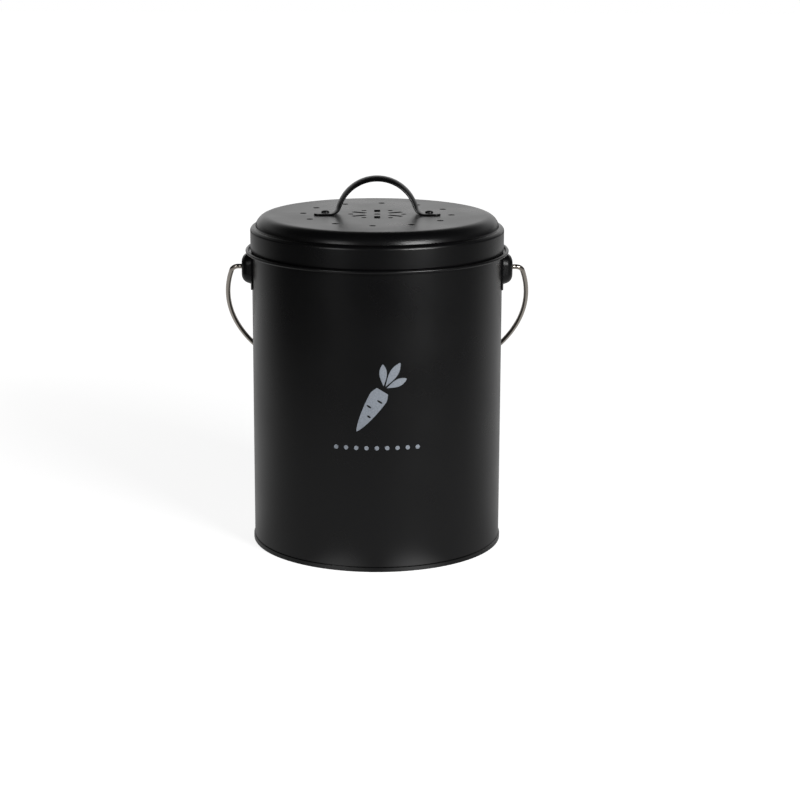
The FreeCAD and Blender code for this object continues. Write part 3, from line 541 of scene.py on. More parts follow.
def wrap_on_wall(mesh):
    """Bends a flat print round the front of the wall: its X runs along the wall and its Y goes up."""
    strip = 2.0 * MM
    work = bmesh.new()
    work.from_mesh(mesh)
    bmesh.ops.remove_doubles(work, verts=work.verts, dist=MERGE_DISTANCE)
    left = min(vertex.co.x for vertex in work.verts)
    right = max(vertex.co.x for vertex in work.verts)
    for cut in range(1, int((right - left) / strip) + 1):
        everything = work.verts[:] + work.edges[:] + work.faces[:]
        bmesh.ops.bisect_plane(work, geom=everything, plane_co=(left + cut * strip, 0, 0), plane_no=(1, 0, 0))
    for vertex in work.verts:
        turn = vertex.co.x / sizes().wall_radius
        radius = sizes().wall_radius + sizes().ink_film + vertex.co.z
        vertex.co = (radius * math.sin(turn), -radius * math.cos(turn), vertex.co.y)
    bmesh.ops.recalc_face_normals(work, faces=work.faces)
    work.to_mesh(mesh)
    work.free()
    return mesh


def dot_row_tree():
    """Geometry Nodes that set flat dots along an arc on the front of the wall."""
    tree, inputs = start_tree("printed_dot_row", {
        "Count": "NodeSocketInt", "Pitch": "NodeSocketFloat", "Dot radius": "NodeSocketFloat",
        "Wall radius": "NodeSocketFloat", "Height": "NodeSocketFloat", "Film": "NodeSocketFloat"})
    steps = add_node(tree, "ShaderNodeMath", {"operation": "SUBTRACT"}, {0: inputs["Count"], 1: 1.0})
    span = add_node(tree, "ShaderNodeMath", {"operation": "MULTIPLY"}, {
        0: steps.outputs[0], 1: inputs["Pitch"]})
    sweep = add_node(tree, "ShaderNodeMath", {"operation": "DIVIDE"}, {
        0: span.outputs[0], 1: inputs["Wall radius"]})
    start = add_node(tree, "ShaderNodeMath", {"operation": "MULTIPLY_ADD"}, {
        0: sweep.outputs[0], 1: -0.5, 2: -math.pi / 2.0})
    seat = add_node(tree, "ShaderNodeMath", {"operation": "ADD"}, {
        0: inputs["Wall radius"], 1: inputs["Film"]})
    arc = add_node(tree, "GeometryNodeCurveArc", {"mode": "RADIUS"}, {
        "Resolution": inputs["Count"], "Radius": seat.outputs[0],
        "Start Angle": start.outputs[0], "Sweep Angle": sweep.outputs[0]})
    dot = add_node(tree, "GeometryNodeMeshCylinder", {"fill_type": "NGON"}, {
        "Vertices": DOT_SIDES, "Radius": inputs["Dot radius"], "Depth": inputs["Film"]})
    outwards = add_node(tree, "FunctionNodeAlignRotationToVector", {"axis": "Z"}, {
        "Vector": add_node(tree, "GeometryNodeInputPosition").outputs["Position"]})
    row = add_node(tree, "GeometryNodeInstanceOnPoints", None, {
        "Points": arc.outputs["Curve"], "Instance": dot.outputs["Mesh"],
        "Rotation": outwards.outputs["Rotation"]})
    lift = add_node(tree, "ShaderNodeCombineXYZ", None, {"Z": inputs["Height"]})
    lifted = add_node(tree, "GeometryNodeTransform", None, {
        "Geometry": row.outputs["Instances"], "Translation": lift.outputs["Vector"]})
    end_tree(tree, lifted.outputs["Geometry"], screen_ink())
    return tree


class BUCKET_OT_print_wall(bpy.types.Operator):
    """Prints a carrot and a row of dots on the front of the wall"""
    bl_idname = "bucket.print_wall"
    bl_label = "Print the wall"

    def execute(self, context):
        size = sizes()
        motif_lean = Matrix.Rotation(math.radians(-32.0), 2)
        motif_middle = Vector((0.0, 7.0 * MM))
        raised = Vector((0.0, size.motif_height))
        outlines = [[motif_lean @ (point + motif_middle) + raised for point in outline]
                    for outline in carrot_outlines()]
        motif = wrap_on_wall(flat_print(outlines))
        add_piece("printed_carrot", motif, screen_ink(), "bucket", "painted_steel")
        dots = run_tree(dot_row_tree(), bpy.data.meshes.new("dot_row"), {
            "Count": size.dot_count, "Pitch": size.dot_pitch, "Dot radius": size.dot_diameter / 2.0,
            "Wall radius": size.wall_radius, "Height": size.dot_height, "Film": size.ink_film})
        add_piece("printed_dots", dots, screen_ink(), "bucket", "painted_steel")
        return {"FINISHED"}


# Bail

def arc_points(middle, radius, start, sweep, steps):
    """Points along an arc, by angles in radians."""
    turns = [start + sweep * step / steps for step in range(steps + 1)]
    return [middle + radius * Vector((math.cos(turn), math.sin(turn))) for turn in turns]


def bail_line():
    """Middle line of the wire as (x, y) from its pivots down: an end, a bend, the long arc, and back."""
    size = sizes()
    reach = wire_high.x - size.wire_diameter / 2.0
    bend = size.bail_bend
    # The long arc is as wide as the wire reaches, and a bend lies inside it and touches the pivots' line
    bend_x = math.sqrt((reach - bend) ** 2 - (size.bail_drop - bend) ** 2)
    bend_middle = Vector((bend_x, -bend))
    long_middle = Vector((0.0, -size.bail_drop))
    meet = math.atan2(size.bail_drop - bend, bend_x)
    tip = wire_tip()
    head_face = tip + size.wire_head_depth
    right = [Vector((place, 0.0)) for place in (tip, head_face, head_face + HEAD_STEP)]
    right += arc_points(bend_middle, bend, math.pi / 2.0, meet - math.pi / 2.0, 14)
    right += arc_points(long_middle, reach, meet, -math.pi / 2.0 - meet, 90)[1:]
    left = [Vector((-point.x, point.y)) for point in reversed(right[:-1])]
    return right + left


def wire_tip():
    """Inner end of the wire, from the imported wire's own vertices."""
    return min(abs(vertex.co.x) for vertex in frame["nodes"]["bail_wire"].data.vertices
               if abs(vertex.co.z - pivot.z) < sizes().wire_diameter and vertex.co.y < sizes().wire_diameter)


def wire_tree():
    """Geometry Nodes that sweep a round wire along a path and keep where each point lies on it."""
    tree, inputs = start_tree("wire_along_path", {"Diameter": "NodeSocketFloat", "Sides": "NodeSocketInt"})
    run = add_node(tree, "GeometryNodeStoreNamedAttribute", {"data_type": "FLOAT", "domain": "POINT"}, {
        "Geometry": inputs["Geometry"], "Name": "along",
        "Value": add_node(tree, "GeometryNodeSplineParameter").outputs["Length"]})
    half = add_node(tree, "ShaderNodeMath", {"operation": "MULTIPLY"}, {0: inputs["Diameter"], 1: 0.5})
    ring = add_node(tree, "GeometryNodeCurvePrimitiveCircle", {"mode": "RADIUS"}, {
        "Resolution": inputs["Sides"], "Radius": half.outputs[0]})
    vector_kind = {"data_type": "FLOAT_VECTOR", "domain": "POINT"}
    section = add_node(tree, "GeometryNodeStoreNamedAttribute", vector_kind, {
        "Geometry": ring.outputs["Curve"], "Name": "section",
        "Value": add_node(tree, "GeometryNodeInputPosition").outputs["Position"]})
    tube = add_node(tree, "GeometryNodeCurveToMesh", None, {
        "Curve": run.outputs["Geometry"], "Profile Curve": section.outputs["Geometry"], "Fill Caps": True,
        "Scale": add_node(tree, "GeometryNodeInputRadius").outputs["Radius"]})
    along = add_node(tree, "GeometryNodeInputNamedAttribute", {"data_type": "FLOAT"}, {"Name": "along"})
    across = add_node(tree, "GeometryNodeInputNamedAttribute", {"data_type": "FLOAT_VECTOR"}, {
        "Name": "section"})
    parts = add_node(tree, "ShaderNodeSeparateXYZ", None, {"Vector": across.outputs["Attribute"]})
    # A scratch is about forty times as long as it is wide
    drawn_out = add_node(tree, "ShaderNodeMath", {"operation": "MULTIPLY"}, {
        0: along.outputs["Attribute"], 1: 0.025})
    place = add_node(tree, "ShaderNodeCombineXYZ", None, {
        "X": parts.outputs["X"], "Y": parts.outputs["Y"], "Z": drawn_out.outputs[0]})
    kept = add_node(tree, "GeometryNodeStoreNamedAttribute", vector_kind, {
        "Geometry": tube.outputs["Mesh"], "Name": "drawn", "Value": place.outputs["Vector"]})
    smooth = add_node(tree, "GeometryNodeSetShadeSmooth", None, {"Geometry": kept.outputs["Geometry"]})
    end_tree(tree, smooth.outputs["Geometry"], drawn_steel())
    return tree


class BUCKET_OT_bend_bail(bpy.types.Operator):
    """Bends the drawn wire of the bail, with its upset ends"""
    bl_idname = "bucket.bend_bail"
    bl_label = "Bend the bail"

    def execute(self, context):
        size = sizes()
        # The lowest point of the hanging wire leans on the wall
        middle_reach = size.bail_drop + wire_high.x - size.wire_diameter / 2.0
        lean = math.asin((wire_high.y - size.wire_diameter / 2.0) / middle_reach)
        turn = Matrix.Translation(pivot) @ Matrix.Rotation(lean, 4, "X")
        curve = bpy.data.curves.new("bail_path", "CURVE")
        curve.dimensions = "3D"
        spline = curve.splines.new("POLY")
        points = [turn @ Vector((point.x, 0.0, point.y)) for point in bail_line()]
        spline.points.add(len(points) - 1)
        for point, place in zip(spline.points, points):
            point.co = (*place, 1.0)
        # The first and last two points lie on the heads
        for index in (0, 1, -2, -1):
            spline.points[index].radius = size.wire_head / size.wire_diameter
        wire = run_tree(wire_tree(), curve, {"Diameter": size.wire_diameter, "Sides": WIRE_SIDES})
        add_piece("bail", wire, wire.materials[0], "bail", "steel_wire", "bail_wire")
        return {"FINISHED"}


# Lid

def lid_outline():
    """Outline of the lid's sheet: along the inside from the middle to the plug's foot, and back outside."""
    size = sizes()
    sheet, top = size.wall_sheet, lid_high.z
    skirt = size.wall_radius + size.skirt_overhang
    plug = size.wall_radius - size.wall_sheet - size.plug_gap
    ledge = top - size.shoulder_height
    neck_head = ledge - size.skirt_height
    neck_foot = neck_head - skirt + plug
    shoulder = skirt - size.ledge_width
    crown = shoulder - size.shoulder_height * SHOULDER_LEAN
    shift = sheet * SHOULDER_MITRE
    return rounded([
        (0.0, top - sheet, 0.0), (crown - shift, top - sheet, size.shoulder_round - sheet),
        (shoulder - shift, ledge - sheet, size.shoulder_hollow + sheet),
        (skirt - sheet, ledge - sheet, size.ledge_round - sheet),
        (skirt - sheet, neck_head + sheet * MITRE_45, size.neck_round - sheet),
        (plug - sheet, neck_foot + sheet * MITRE_45, size.neck_hollow + sheet),
        (plug - sheet, lid_low.z, 0.0), (plug, lid_low.z, 0.0), (plug, neck_foot, size.neck_hollow),
        (skirt, neck_head, size.neck_round), (skirt, ledge, size.ledge_round),
        (shoulder, ledge, size.shoulder_hollow), (crown, top, size.shoulder_round), (0.0, top, 0.0)],
        steps=12)


def punch_tree():
    """Geometry Nodes that punch a ring of like vents: round ones, or slots that point to the middle."""
    tree, inputs = start_tree("punched_ring", {
        "Count": "NodeSocketInt", "Ring": "NodeSocketFloat", "Turn": "NodeSocketFloat",
        "Height": "NodeSocketFloat", "Size": "NodeSocketVector", "Diameter": "NodeSocketFloat",
        "Round": "NodeSocketBool"})
    index = add_node(tree, "GeometryNodeInputIndex").outputs["Index"]
    share = add_node(tree, "ShaderNodeMath", {"operation": "DIVIDE"}, {0: index, 1: inputs["Count"]})
    angle = add_node(tree, "ShaderNodeMath", {"operation": "MULTIPLY_ADD"}, {
        0: share.outputs[0], 1: 2.0 * math.pi, 2: inputs["Turn"]})
    start = add_node(tree, "ShaderNodeCombineXYZ", None, {"X": inputs["Ring"], "Z": inputs["Height"]})
    place = add_node(tree, "ShaderNodeVectorRotate", {"rotation_type": "Z_AXIS"}, {
        "Vector": start.outputs["Vector"], "Angle": angle.outputs[0]})
    points = add_node(tree, "GeometryNodePoints", None, {
        "Count": inputs["Count"], "Position": place.outputs["Vector"]})
    parts = add_node(tree, "ShaderNodeSeparateXYZ", None, {"Vector": inputs["Size"]})
    radius = add_node(tree, "ShaderNodeMath", {"operation": "MULTIPLY"}, {0: inputs["Diameter"], 1: 0.5})
    pin = add_node(tree, "GeometryNodeMeshCylinder", None, {
        "Vertices": VENT_SIDES, "Radius": radius.outputs[0], "Depth": parts.outputs["Z"]})
    bar = add_node(tree, "GeometryNodeMeshCube", None, {"Size": inputs["Size"]})
    punch = add_node(tree, "GeometryNodeSwitch", {"input_type": "GEOMETRY"}, {
        "Switch": inputs["Round"], "False": bar.outputs["Mesh"], "True": pin.outputs["Mesh"]})
    turned = add_node(tree, "ShaderNodeCombineXYZ", None, {"Z": angle.outputs[0]})
    punches = add_node(tree, "GeometryNodeInstanceOnPoints", None, {
        "Points": points.outputs[0], "Instance": punch.outputs["Output"],
        "Rotation": turned.outputs["Vector"]})
    real = add_node(tree, "GeometryNodeRealizeInstances", None, {"Geometry": punches.outputs["Instances"]})
    cut = add_node(tree, "GeometryNodeMeshBoolean", {"operation": "DIFFERENCE", "solver": "EXACT"}, {
        "Mesh 1": inputs["Geometry"], "Mesh 2": real.outputs["Geometry"]})
    end_tree(tree, cut.outputs["Mesh"], powder_coat())
    return tree


class BUCKET_OT_press_lid(bpy.types.Operator):
    """Presses the lid to its shape and punches its vents"""
    bl_idname = "bucket.press_lid"
    bl_label = "Press the lid"

    def execute(self, context):
        size = sizes()
        mesh = tidy(lathe("lid", supported(lid_outline()), SHEET_SIDES))
        # The flat middle is one face above and one below, so the punches leave it clean
        work = bmesh.new()
        work.from_mesh(mesh)
        on_axis = [vertex for vertex in work.verts if vertex.co.xy.length < NEARLY_ZERO]
        bmesh.ops.dissolve_verts(work, verts=on_axis)
        work.to_mesh(mesh)
        work.free()
        tree = punch_tree()
        slot_middle = (size.slot_start + size.slot_end) / 2.0
        slot_length = size.slot_end - size.slot_start
        half_step = math.pi / SLOT_COUNT
        punch_depth = 3.0 * MM
        # The vent in the middle, the small vents, the slots between them and the outer ring
        for count, ring, turn, diameter, across in (
                (1, 0.0, 0.0, size.vent_hole, 0.0), (SLOT_COUNT, size.small_ring, 0.0, size.small_vent, 0.0),
                (SLOT_COUNT, slot_middle, half_step, 0.0, size.slot_width),
                (VENT_COUNT, size.vent_ring, VENT_TURN, size.vent_hole, 0.0)):
            mesh = run_tree(tree, mesh, {
                "Count": count, "Ring": ring, "Turn": turn, "Height": lid_high.z - size.wall_sheet / 2.0,
                "Size": (slot_length, across, punch_depth), "Diameter": diameter, "Round": diameter > 0.0})
        mesh = tidy(mesh, sharp_degrees=35.0)
        add_piece("pressed_lid", mesh, powder_coat(), "lid", "painted_steel", "lid_shell")
        return {"FINISHED"}


def strap_stations():
    """Places along the right half of the strap, from the foot's end to the crown.

    Each is a point on the outside, the way out, half the width, the bow, and how far the end's rounding
    sets the surface back.
    """
    size = sizes()
    foot_top = strap_low.z + size.strap_sheet
    arch_z = strap_high.z - size.arch_radius
    bend_z = foot_top + size.foot_bend
    bend_x = math.sqrt((size.arch_radius + size.foot_bend) ** 2 - (bend_z - arch_z) ** 2)
    meet = math.atan2(bend_x, bend_z - arch_z)
    half_width, corner, edge = strap_high.y, size.foot_corner, size.strap_edge
    stations = []
    foot_steps = [edge * share for share in (0.0, 0.1, 0.35, 1.0)]
    foot_steps += [corner * share for share in (0.2, 0.35, 0.55, 0.78, 1.0)]
    foot_length = strap_high.x - bend_x
    foot_steps += [corner + (foot_length - corner) * share for share in (0.33, 0.66)]
    for step in foot_steps:
        narrow = corner - math.sqrt(corner ** 2 - (corner - step) ** 2) if step < corner else 0.0
        inset = edge - math.sqrt(edge ** 2 - (edge - step) ** 2) if step < edge else 0.0
        point = Vector((strap_high.x - step, 0.0, foot_top))
        stations.append((point, Vector((0, 0, 1)), half_width - narrow, 0.0, inset))
    press_run = size.foot_bend * meet + size.arch_radius * size.press_angle
    for stretch_steps, radius, middle, hollow in (
            (12, size.foot_bend, Vector((bend_x, 0, bend_z)), True),
            (48, size.arch_radius, Vector((0, 0, arch_z)), False)):
        for step in range(stretch_steps + 1):
            share = step / stretch_steps
            turn = meet * share if hollow else meet * (1.0 - share)
            run = size.foot_bend * (turn if hollow else meet)
            run += 0.0 if hollow else size.arch_radius * (meet - turn)
            pressed = min(1.0, run / press_run)
            bow = size.strap_bow * pressed ** 2 * (3.0 - 2.0 * pressed)
            outwards = Vector((math.sin(turn), 0.0, math.cos(turn)))
            point = middle - outwards * radius if hollow else middle + outwards * radius
            # The arch starts where the bend ends, so its first place is left out
            if hollow or step > 0:
                stations.append((point, outwards, half_width, bow, 0.0))
    return stations


def strap_section(point, outwards, half_width, bow, inset):
    """Loop of points round the strap at one station: bowed faces and rounded edges."""
    size = sizes()
    edge, sheet = size.strap_edge, size.strap_sheet
    half = half_width - inset
    bow_radius = (half_width ** 2 + bow ** 2) / (2.0 * bow) if bow > NEARLY_ZERO else None

    def depth(across):
        return bow_radius - math.sqrt(bow_radius ** 2 - across ** 2) if bow_radius else 0.0

    face_steps, edge_steps = 10, 4
    quarter = [math.pi / 2.0 * step / edge_steps for step in range(edge_steps + 1)]
    right = [(half - edge + edge * math.sin(turn), edge - edge * math.cos(turn)) for turn in quarter]
    right += [(across, sheet - below) for across, below in reversed(right)]
    flat = [(half - edge) * (2.0 * step / face_steps - 1.0) for step in range(1, face_steps)]
    outline = [(across, 0.0) for across in flat] + right
    outline += [(across, sheet) for across in reversed(flat)]
    outline += [(-across, below) for across, below in reversed(right)]
    sunk = []
    for across, below in outline:
        below = min(max(below, inset), sheet - inset)
        sunk.append(point + Vector((0.0, across, 0.0)) - outwards * (below + depth(across)))
    return sunk


def strap_mesh():
    """Strap handle: rounded feet, hollow bends and an arch that is pressed to a bowed section."""
    right = [strap_section(*station) for station in strap_stations()]
    flip = Vector((-1.0, 1.0, 1.0))
    loops = right + [[place * flip for place in loop] for loop in reversed(right[:-1])]
    vertices = [place for loop in loops for place in loop]
    count = len(loops[0])
    faces = [tuple(range(count)), tuple(range(len(vertices) - count, len(vertices)))]
    for row in range(len(loops) - 1):
        for side in range(count):
            other = (side + 1) % count
            faces.append((row * count + side, row * count + other,
                          (row + 1) * count + other, (row + 1) * count + side))
    mesh = bpy.data.meshes.new("strap")
    mesh.from_pydata(vertices, [], faces)
    return tidy(mesh, sharp_degrees=50.0)


def pair_tree(name, material):
    """Geometry Nodes that set two like pieces, one on each side of the lid's middle."""
    tree, inputs = start_tree(name, {
        "Count": "NodeSocketInt", "First": "NodeSocketVector", "Step": "NodeSocketVector"})
    places = add_node(tree, "GeometryNodeMeshLine", {"mode": "OFFSET"}, {
        "Count": inputs["Count"], "Start Location": inputs["First"], "Offset": inputs["Step"]})
    pair = add_node(tree, "GeometryNodeInstanceOnPoints", None, {
        "Points": places.outputs["Mesh"], "Instance": inputs["Geometry"]})
    end_tree(tree, pair.outputs["Instances"], material)
    return tree


class BUCKET_OT_make_handle(bpy.types.Operator):
    """Bends the strap handle of the lid and rivets its feet"""
    bl_idname = "bucket.make_handle"
    bl_label = "Make the handle"

    def execute(self, context):
        size = sizes()
        add_piece("strap_handle", strap_mesh(), powder_coat(), "lid", "painted_steel", "lid_handle")
        head, shank, tail = (across / 2.0 for across in (size.rivet_head, size.rivet_shank, size.rivet_tail))
        seat = strap_low.z + size.strap_sheet
        head_height = rivet_high.z - seat
        # The head is a shallow dome on a short straight side, and the tail is hammered flat and round
        side_share, dome_steps, tail_round = 0.3, 10, 0.4 * MM
        quarter = [math.pi / 2.0 * step / dome_steps for step in range(dome_steps + 1)]
        side_top = seat + head_height * side_share
        dome = [(head * math.cos(turn), side_top + (rivet_high.z - side_top) * math.sin(turn))
                for turn in quarter]
        tail_corners = [(0.0, rivet_low.z, 0.0), (tail, rivet_low.z, tail_round), (tail, washer_low.z, 0.0)]
        outline = [tuple(point) for point in rounded(tail_corners)]
        outline += [(shank, washer_low.z), (shank, seat), (head, seat)] + dome[:-1] + [(0.0, rivet_high.z)]
        place = rivet_high.x - head
        rivet = tidy(lathe("rivet", outline, RIVET_SIDES))
        rivets = run_tree(pair_tree("rivet_pair", powder_coat()), rivet, {
            "Count": 2, "First": (-place, 0.0, 0.0), "Step": (2.0 * place, 0.0, 0.0)})
        rivets = tidy(rivets, sharp_degrees=40.0)
        add_piece("strap_rivets", rivets, powder_coat(), "lid", "painted_steel", "handle_rivets")
        return {"FINISHED"}


# Liner and filter

class BUCKET_OT_finish_plastics(bpy.types.Operator):
    """Gives the liner, the filter's collar and tray and the rivets' washers their finishes"""
    bl_idname = "bucket.finish_plastics"
    bl_label = "Finish the plastics and washers"

    def execute(self, context):
        dress(moulded_plastic("grey_moulded_polypropylene", colours().liner), "liner_bucket")
        dress(moulded_plastic("black_moulded_polypropylene", colours().tray), "filter_collar", "filter_tray")
        dress(zinc_plate(), "rivet_washers")
        return {"FINISHED"}


class BUCKET_OT_fill_filter(bpy.types.Operator):
    """Makes the charcoal felt pad of the filter"""
    bl_idname = "bucket.fill_filter"
    bl_label = "Fill the filter"

    def execute(self, context):
        size = sizes()
        radius = pad_high.x - size.felt_lump
        low, high = pad_low.z + size.felt_lump / 2.0, pad_high.z - size.felt_lump
        edge = size.felt_edge
        ring_count = 26
        rings = [radius * ring / ring_count for ring in range(1, ring_count)]
        rings = [ring for ring in rings if ring < radius - edge]
        rim = [tuple(point) for point in rounded([(0.0, low, 0.0), (radius, low, edge), (radius, high, edge),
                                                  (0.0, high, 0.0)])[1:-1]]
        outline = [(0.0, low)] + [(ring, low) for ring in rings] + rim
        outline += [(ring, high) for ring in reversed(rings)] + [(0.0, high)]
        pad = tidy(lathe("pad", outline, PAD_SIDES))
        middle, half_height = (low + high) / 2.0, (high - low) / 2.0
        # Lumps of the felt: their spacing, how fast finer ones fade, how much finer each is, and how many
        spacing, fade, finer, octaves = 5.0 * MM, 0.8, 2.0, 4
        for vertex in pad.vertices:
            lump = noise.fractal(vertex.co / spacing, fade, finer, octaves) * size.felt_lump * 0.6
            away = Vector((vertex.co.x / radius, vertex.co.y / radius, (vertex.co.z - middle) / half_height))
            vertex.co += away.normalized() * max(-size.felt_lump, min(size.felt_lump, lump))
            # Below, the pad lies flat on the tray
            vertex.co.z = max(vertex.co.z, pad_low.z)
        pad.update()
        piece = add_piece("charcoal_felt_pad", pad, charcoal_felt(), "filter", "charcoal_felt",
                          "charcoal_filter")
        return {"FINISHED"}


# Stage

# Camera worked out from the photograph's ellipses: where it stands, how it is turned, and its lens
CAMERA_PLACE = Vector((0.0, -1487.77 * MM, 462.617 * MM))
CAMERA_PITCH, CAMERA_YAW, CAMERA_ROLL = 0.2393, 0.0110, 0.0040
CAMERA_LENS_PIXELS = 2152.9
PHOTO_WIDTH = 800
SENSOR_WIDTH = 36.0
FLOOR_HALF = 6.0
# Painted pools of light on the floor close in front of the bucket, seen only in the gloss: the middle and
# strength of each, and their radius
PAINTED_LIGHT_POOLS = (((0.034, -0.096, 0.0), 1.4), ((-0.034, -0.096, 0.0), 0.7))
PAINTED_POOL_RADIUS = 0.035
# Softboxes: name, turn from the front to the right and rise in degrees, distance, width and height in metres,
# and brightness
SOFTBOXES = (("key_softbox", 37.0, 19.0, 1.3, 0.5, 0.55, 13.0),
             ("fill_softbox", -36.0, 16.0, 1.3, 0.4, 0.55, 3.0))


def studio_floor():
    """Seamless paper: white to the eye, with the object's soft shadow kept, and dim in the paint's gloss,
    where it shows painted light.
    """
    material = bpy.data.materials.new("white_paper_floor")
    material.use_nodes = True
    tree = material.node_tree
    tree.nodes.clear()
    place = add_node(tree, "ShaderNodeTexCoord").outputs["Object"]
    ray = add_node(tree, "ShaderNodeLightPath").outputs
    distance = add_node(tree, "ShaderNodeVectorMath", {"operation": "LENGTH"}, {0: place}).outputs["Value"]
    # The paper turns from lit floor to plain white backdrop as it goes away from the object
    seen_level = add_node(tree, "ShaderNodeMapRange", {"interpolation_type": "SMOOTHSTEP"}, {
        "Value": distance, "From Min": 0.2, "From Max": 1.0, "To Min": 0.87, "To Max": 1.0})
    seen = add_node(tree, "ShaderNodeMath", {"operation": "MAXIMUM"}, {
        0: ray["Is Camera Ray"], 1: ray["Is Transmission Ray"]})
    glow_level = add_node(tree, "ShaderNodeMath", {"operation": "MULTIPLY"}, {
        0: seen.outputs[0], 1: seen_level.outputs["Result"]})
    glow = add_node(tree, "ShaderNodeEmission", None, {
        "Color": (1, 1, 1, 1), "Strength": glow_level.outputs[0]})
    paper = add_node(tree, "ShaderNodeBsdfDiffuse", None, {"Color": (*colours().floor, 1.0)})
    shown = add_node(tree, "ShaderNodeAddShader", None, {
        0: paper.outputs["BSDF"], 1: glow.outputs["Emission"]})
    # In the gloss the paper shows a painted reflection: the far paper is dark in front and grows lighter
    # round the sides to the back
    parts = add_node(tree, "ShaderNodeSeparateXYZ", None, {"Vector": place})
    backwards = add_node(tree, "ShaderNodeMath", {"operation": "DIVIDE"}, {
        0: parts.outputs["Y"], 1: distance})
    far = add_node(tree, "ShaderNodeMapRange", {"interpolation_type": "SMOOTHSTEP"}, {
        "Value": backwards.outputs[0], "From Min": -0.1, "From Max": 0.9, "To Min": 0.03, "To Max": 0.6})
    near = add_node(tree, "ShaderNodeMapRange", {"interpolation_type": "SMOOTHSTEP"}, {
        "Value": backwards.outputs[0], "From Min": -0.3, "From Max": 0.5, "To Min": 0.34, "To Max": 0.5})
    away = add_node(tree, "ShaderNodeMapRange", {"interpolation_type": "SMOOTHSTEP"}, {
        "Value": distance, "From Min": 0.3, "From Max": 0.95})
    # In that painted reflection the right side is a little lighter than the left
    sideways = add_node(tree, "ShaderNodeMath", {"operation": "DIVIDE"}, {0: parts.outputs["X"], 1: distance})
    right = add_node(tree, "ShaderNodeMapRange", {"interpolation_type": "SMOOTHSTEP"}, {
        "Value": sideways.outputs[0], "From Min": 0.5, "From Max": 0.95, "To Min": 0.0, "To Max": 0.13})
    far_right = add_node(tree, "ShaderNodeMath", {"operation": "ADD"}, {
        0: far.outputs["Result"], 1: right.outputs["Result"]})
    painted_reflection = add_node(tree, "ShaderNodeMix", {"data_type": "FLOAT"}, {
        0: away.outputs["Result"], 2: near.outputs["Result"], 3: far_right.outputs[0]})
    # Past the edge of the paper the room is dark
    paper_edge = add_node(tree, "ShaderNodeMapRange", {"interpolation_type": "SMOOTHSTEP"}, {
        "Value": distance, "From Min": 1.1, "From Max": 1.9, "To Min": 1.0, "To Max": 0.1})
    painted_reflection = add_node(tree, "ShaderNodeMath", {"operation": "MULTIPLY"}, {
        0: painted_reflection.outputs[0], 1: paper_edge.outputs["Result"]})
    # The gloss also shows painted pools of light on the paper close in front of the bucket
    for painted_pool, strength in PAINTED_LIGHT_POOLS:
        reach = add_node(tree, "ShaderNodeVectorMath", {"operation": "DISTANCE"}, {0: place, 1: painted_pool})
        painted_pool_glow = add_node(tree, "ShaderNodeMapRange", {"interpolation_type": "SMOOTHSTEP"}, {
            "Value": reach.outputs["Value"], "From Min": 0.0, "From Max": PAINTED_POOL_RADIUS,
            "To Min": strength, "To Max": 0.0})
        painted_reflection = add_node(tree, "ShaderNodeMath", {"operation": "ADD"}, {
            0: painted_reflection.outputs[0], 1: painted_pool_glow.outputs["Result"]})
    gloss = add_node(tree, "ShaderNodeEmission", None, {
        "Color": (1, 1, 1, 1), "Strength": painted_reflection.outputs[0]})
    both = add_node(tree, "ShaderNodeMixShader", None, {
        0: ray["Is Glossy Ray"], 1: shown.outputs["Shader"], 2: gloss.outputs["Emission"]})
    add_node(tree, "ShaderNodeOutputMaterial", None, {"Surface": both.outputs["Shader"]})
    return material


def studio_world():
    """White backdrop behind the object that dims round the sides and overhead to a dark room."""
    world = bpy.data.worlds.new("studio")
    world.use_nodes = True
    tree = world.node_tree
    tree.nodes.clear()
    way = add_node(tree, "ShaderNodeTexCoord").outputs["Generated"]
    parts = add_node(tree, "ShaderNodeSeparateXYZ", None, {"Vector": way})
    behind = add_node(tree, "ShaderNodeMath", {"operation": "MAXIMUM"}, {0: parts.outputs["Y"], 1: 0.0})
    steep = add_node(tree, "ShaderNodeMath", {"operation": "POWER"}, {0: behind.outputs[0], 1: 2.2})
    backdrop = add_node(tree, "ShaderNodeMath", {"operation": "MULTIPLY_ADD"}, {
        0: steep.outputs[0], 1: 0.84, 2: 0.04})
    low = add_node(tree, "ShaderNodeMapRange", {"interpolation_type": "SMOOTHSTEP"}, {
        "Value": parts.outputs["Z"], "From Min": 0.32, "From Max": 0.65, "To Min": 1.0, "To Max": 0.06})
    # Round the sides, the backdrop hangs clear of the floor, and the gap below it is dark
    hung = add_node(tree, "ShaderNodeMapRange", {"interpolation_type": "SMOOTHSTEP"}, {
        "Value": parts.outputs["Z"], "From Min": 0.05, "From Max": 0.35, "To Min": 0.1, "To Max": 1.0})
    straight_back = add_node(tree, "ShaderNodeMapRange", {"interpolation_type": "SMOOTHSTEP"}, {
        "Value": parts.outputs["Y"], "From Min": 0.6, "From Max": 0.95})
    above_gap = add_node(tree, "ShaderNodeMath", {"operation": "MAXIMUM"}, {
        0: hung.outputs["Result"], 1: straight_back.outputs["Result"]})
    limits = add_node(tree, "ShaderNodeMath", {"operation": "MULTIPLY"}, {
        0: above_gap.outputs[0], 1: low.outputs["Result"]})
    room = add_node(tree, "ShaderNodeMath", {"operation": "MULTIPLY"}, {
        0: backdrop.outputs[0], 1: limits.outputs[0]})
    ray = add_node(tree, "ShaderNodeLightPath").outputs
    seen = add_node(tree, "ShaderNodeMath", {"operation": "MAXIMUM"}, {
        0: ray["Is Camera Ray"], 1: ray["Is Transmission Ray"]})
    level = add_node(tree, "ShaderNodeMath", {"operation": "MAXIMUM"}, {
        0: seen.outputs[0], 1: room.outputs[0]})
    sky = add_node(tree, "ShaderNodeBackground", None, {
        "Color": (1, 1, 1, 1), "Strength": level.outputs[0]})
    add_node(tree, "ShaderNodeOutputWorld", None, {"Surface": sky.outputs["Background"]})
    return world


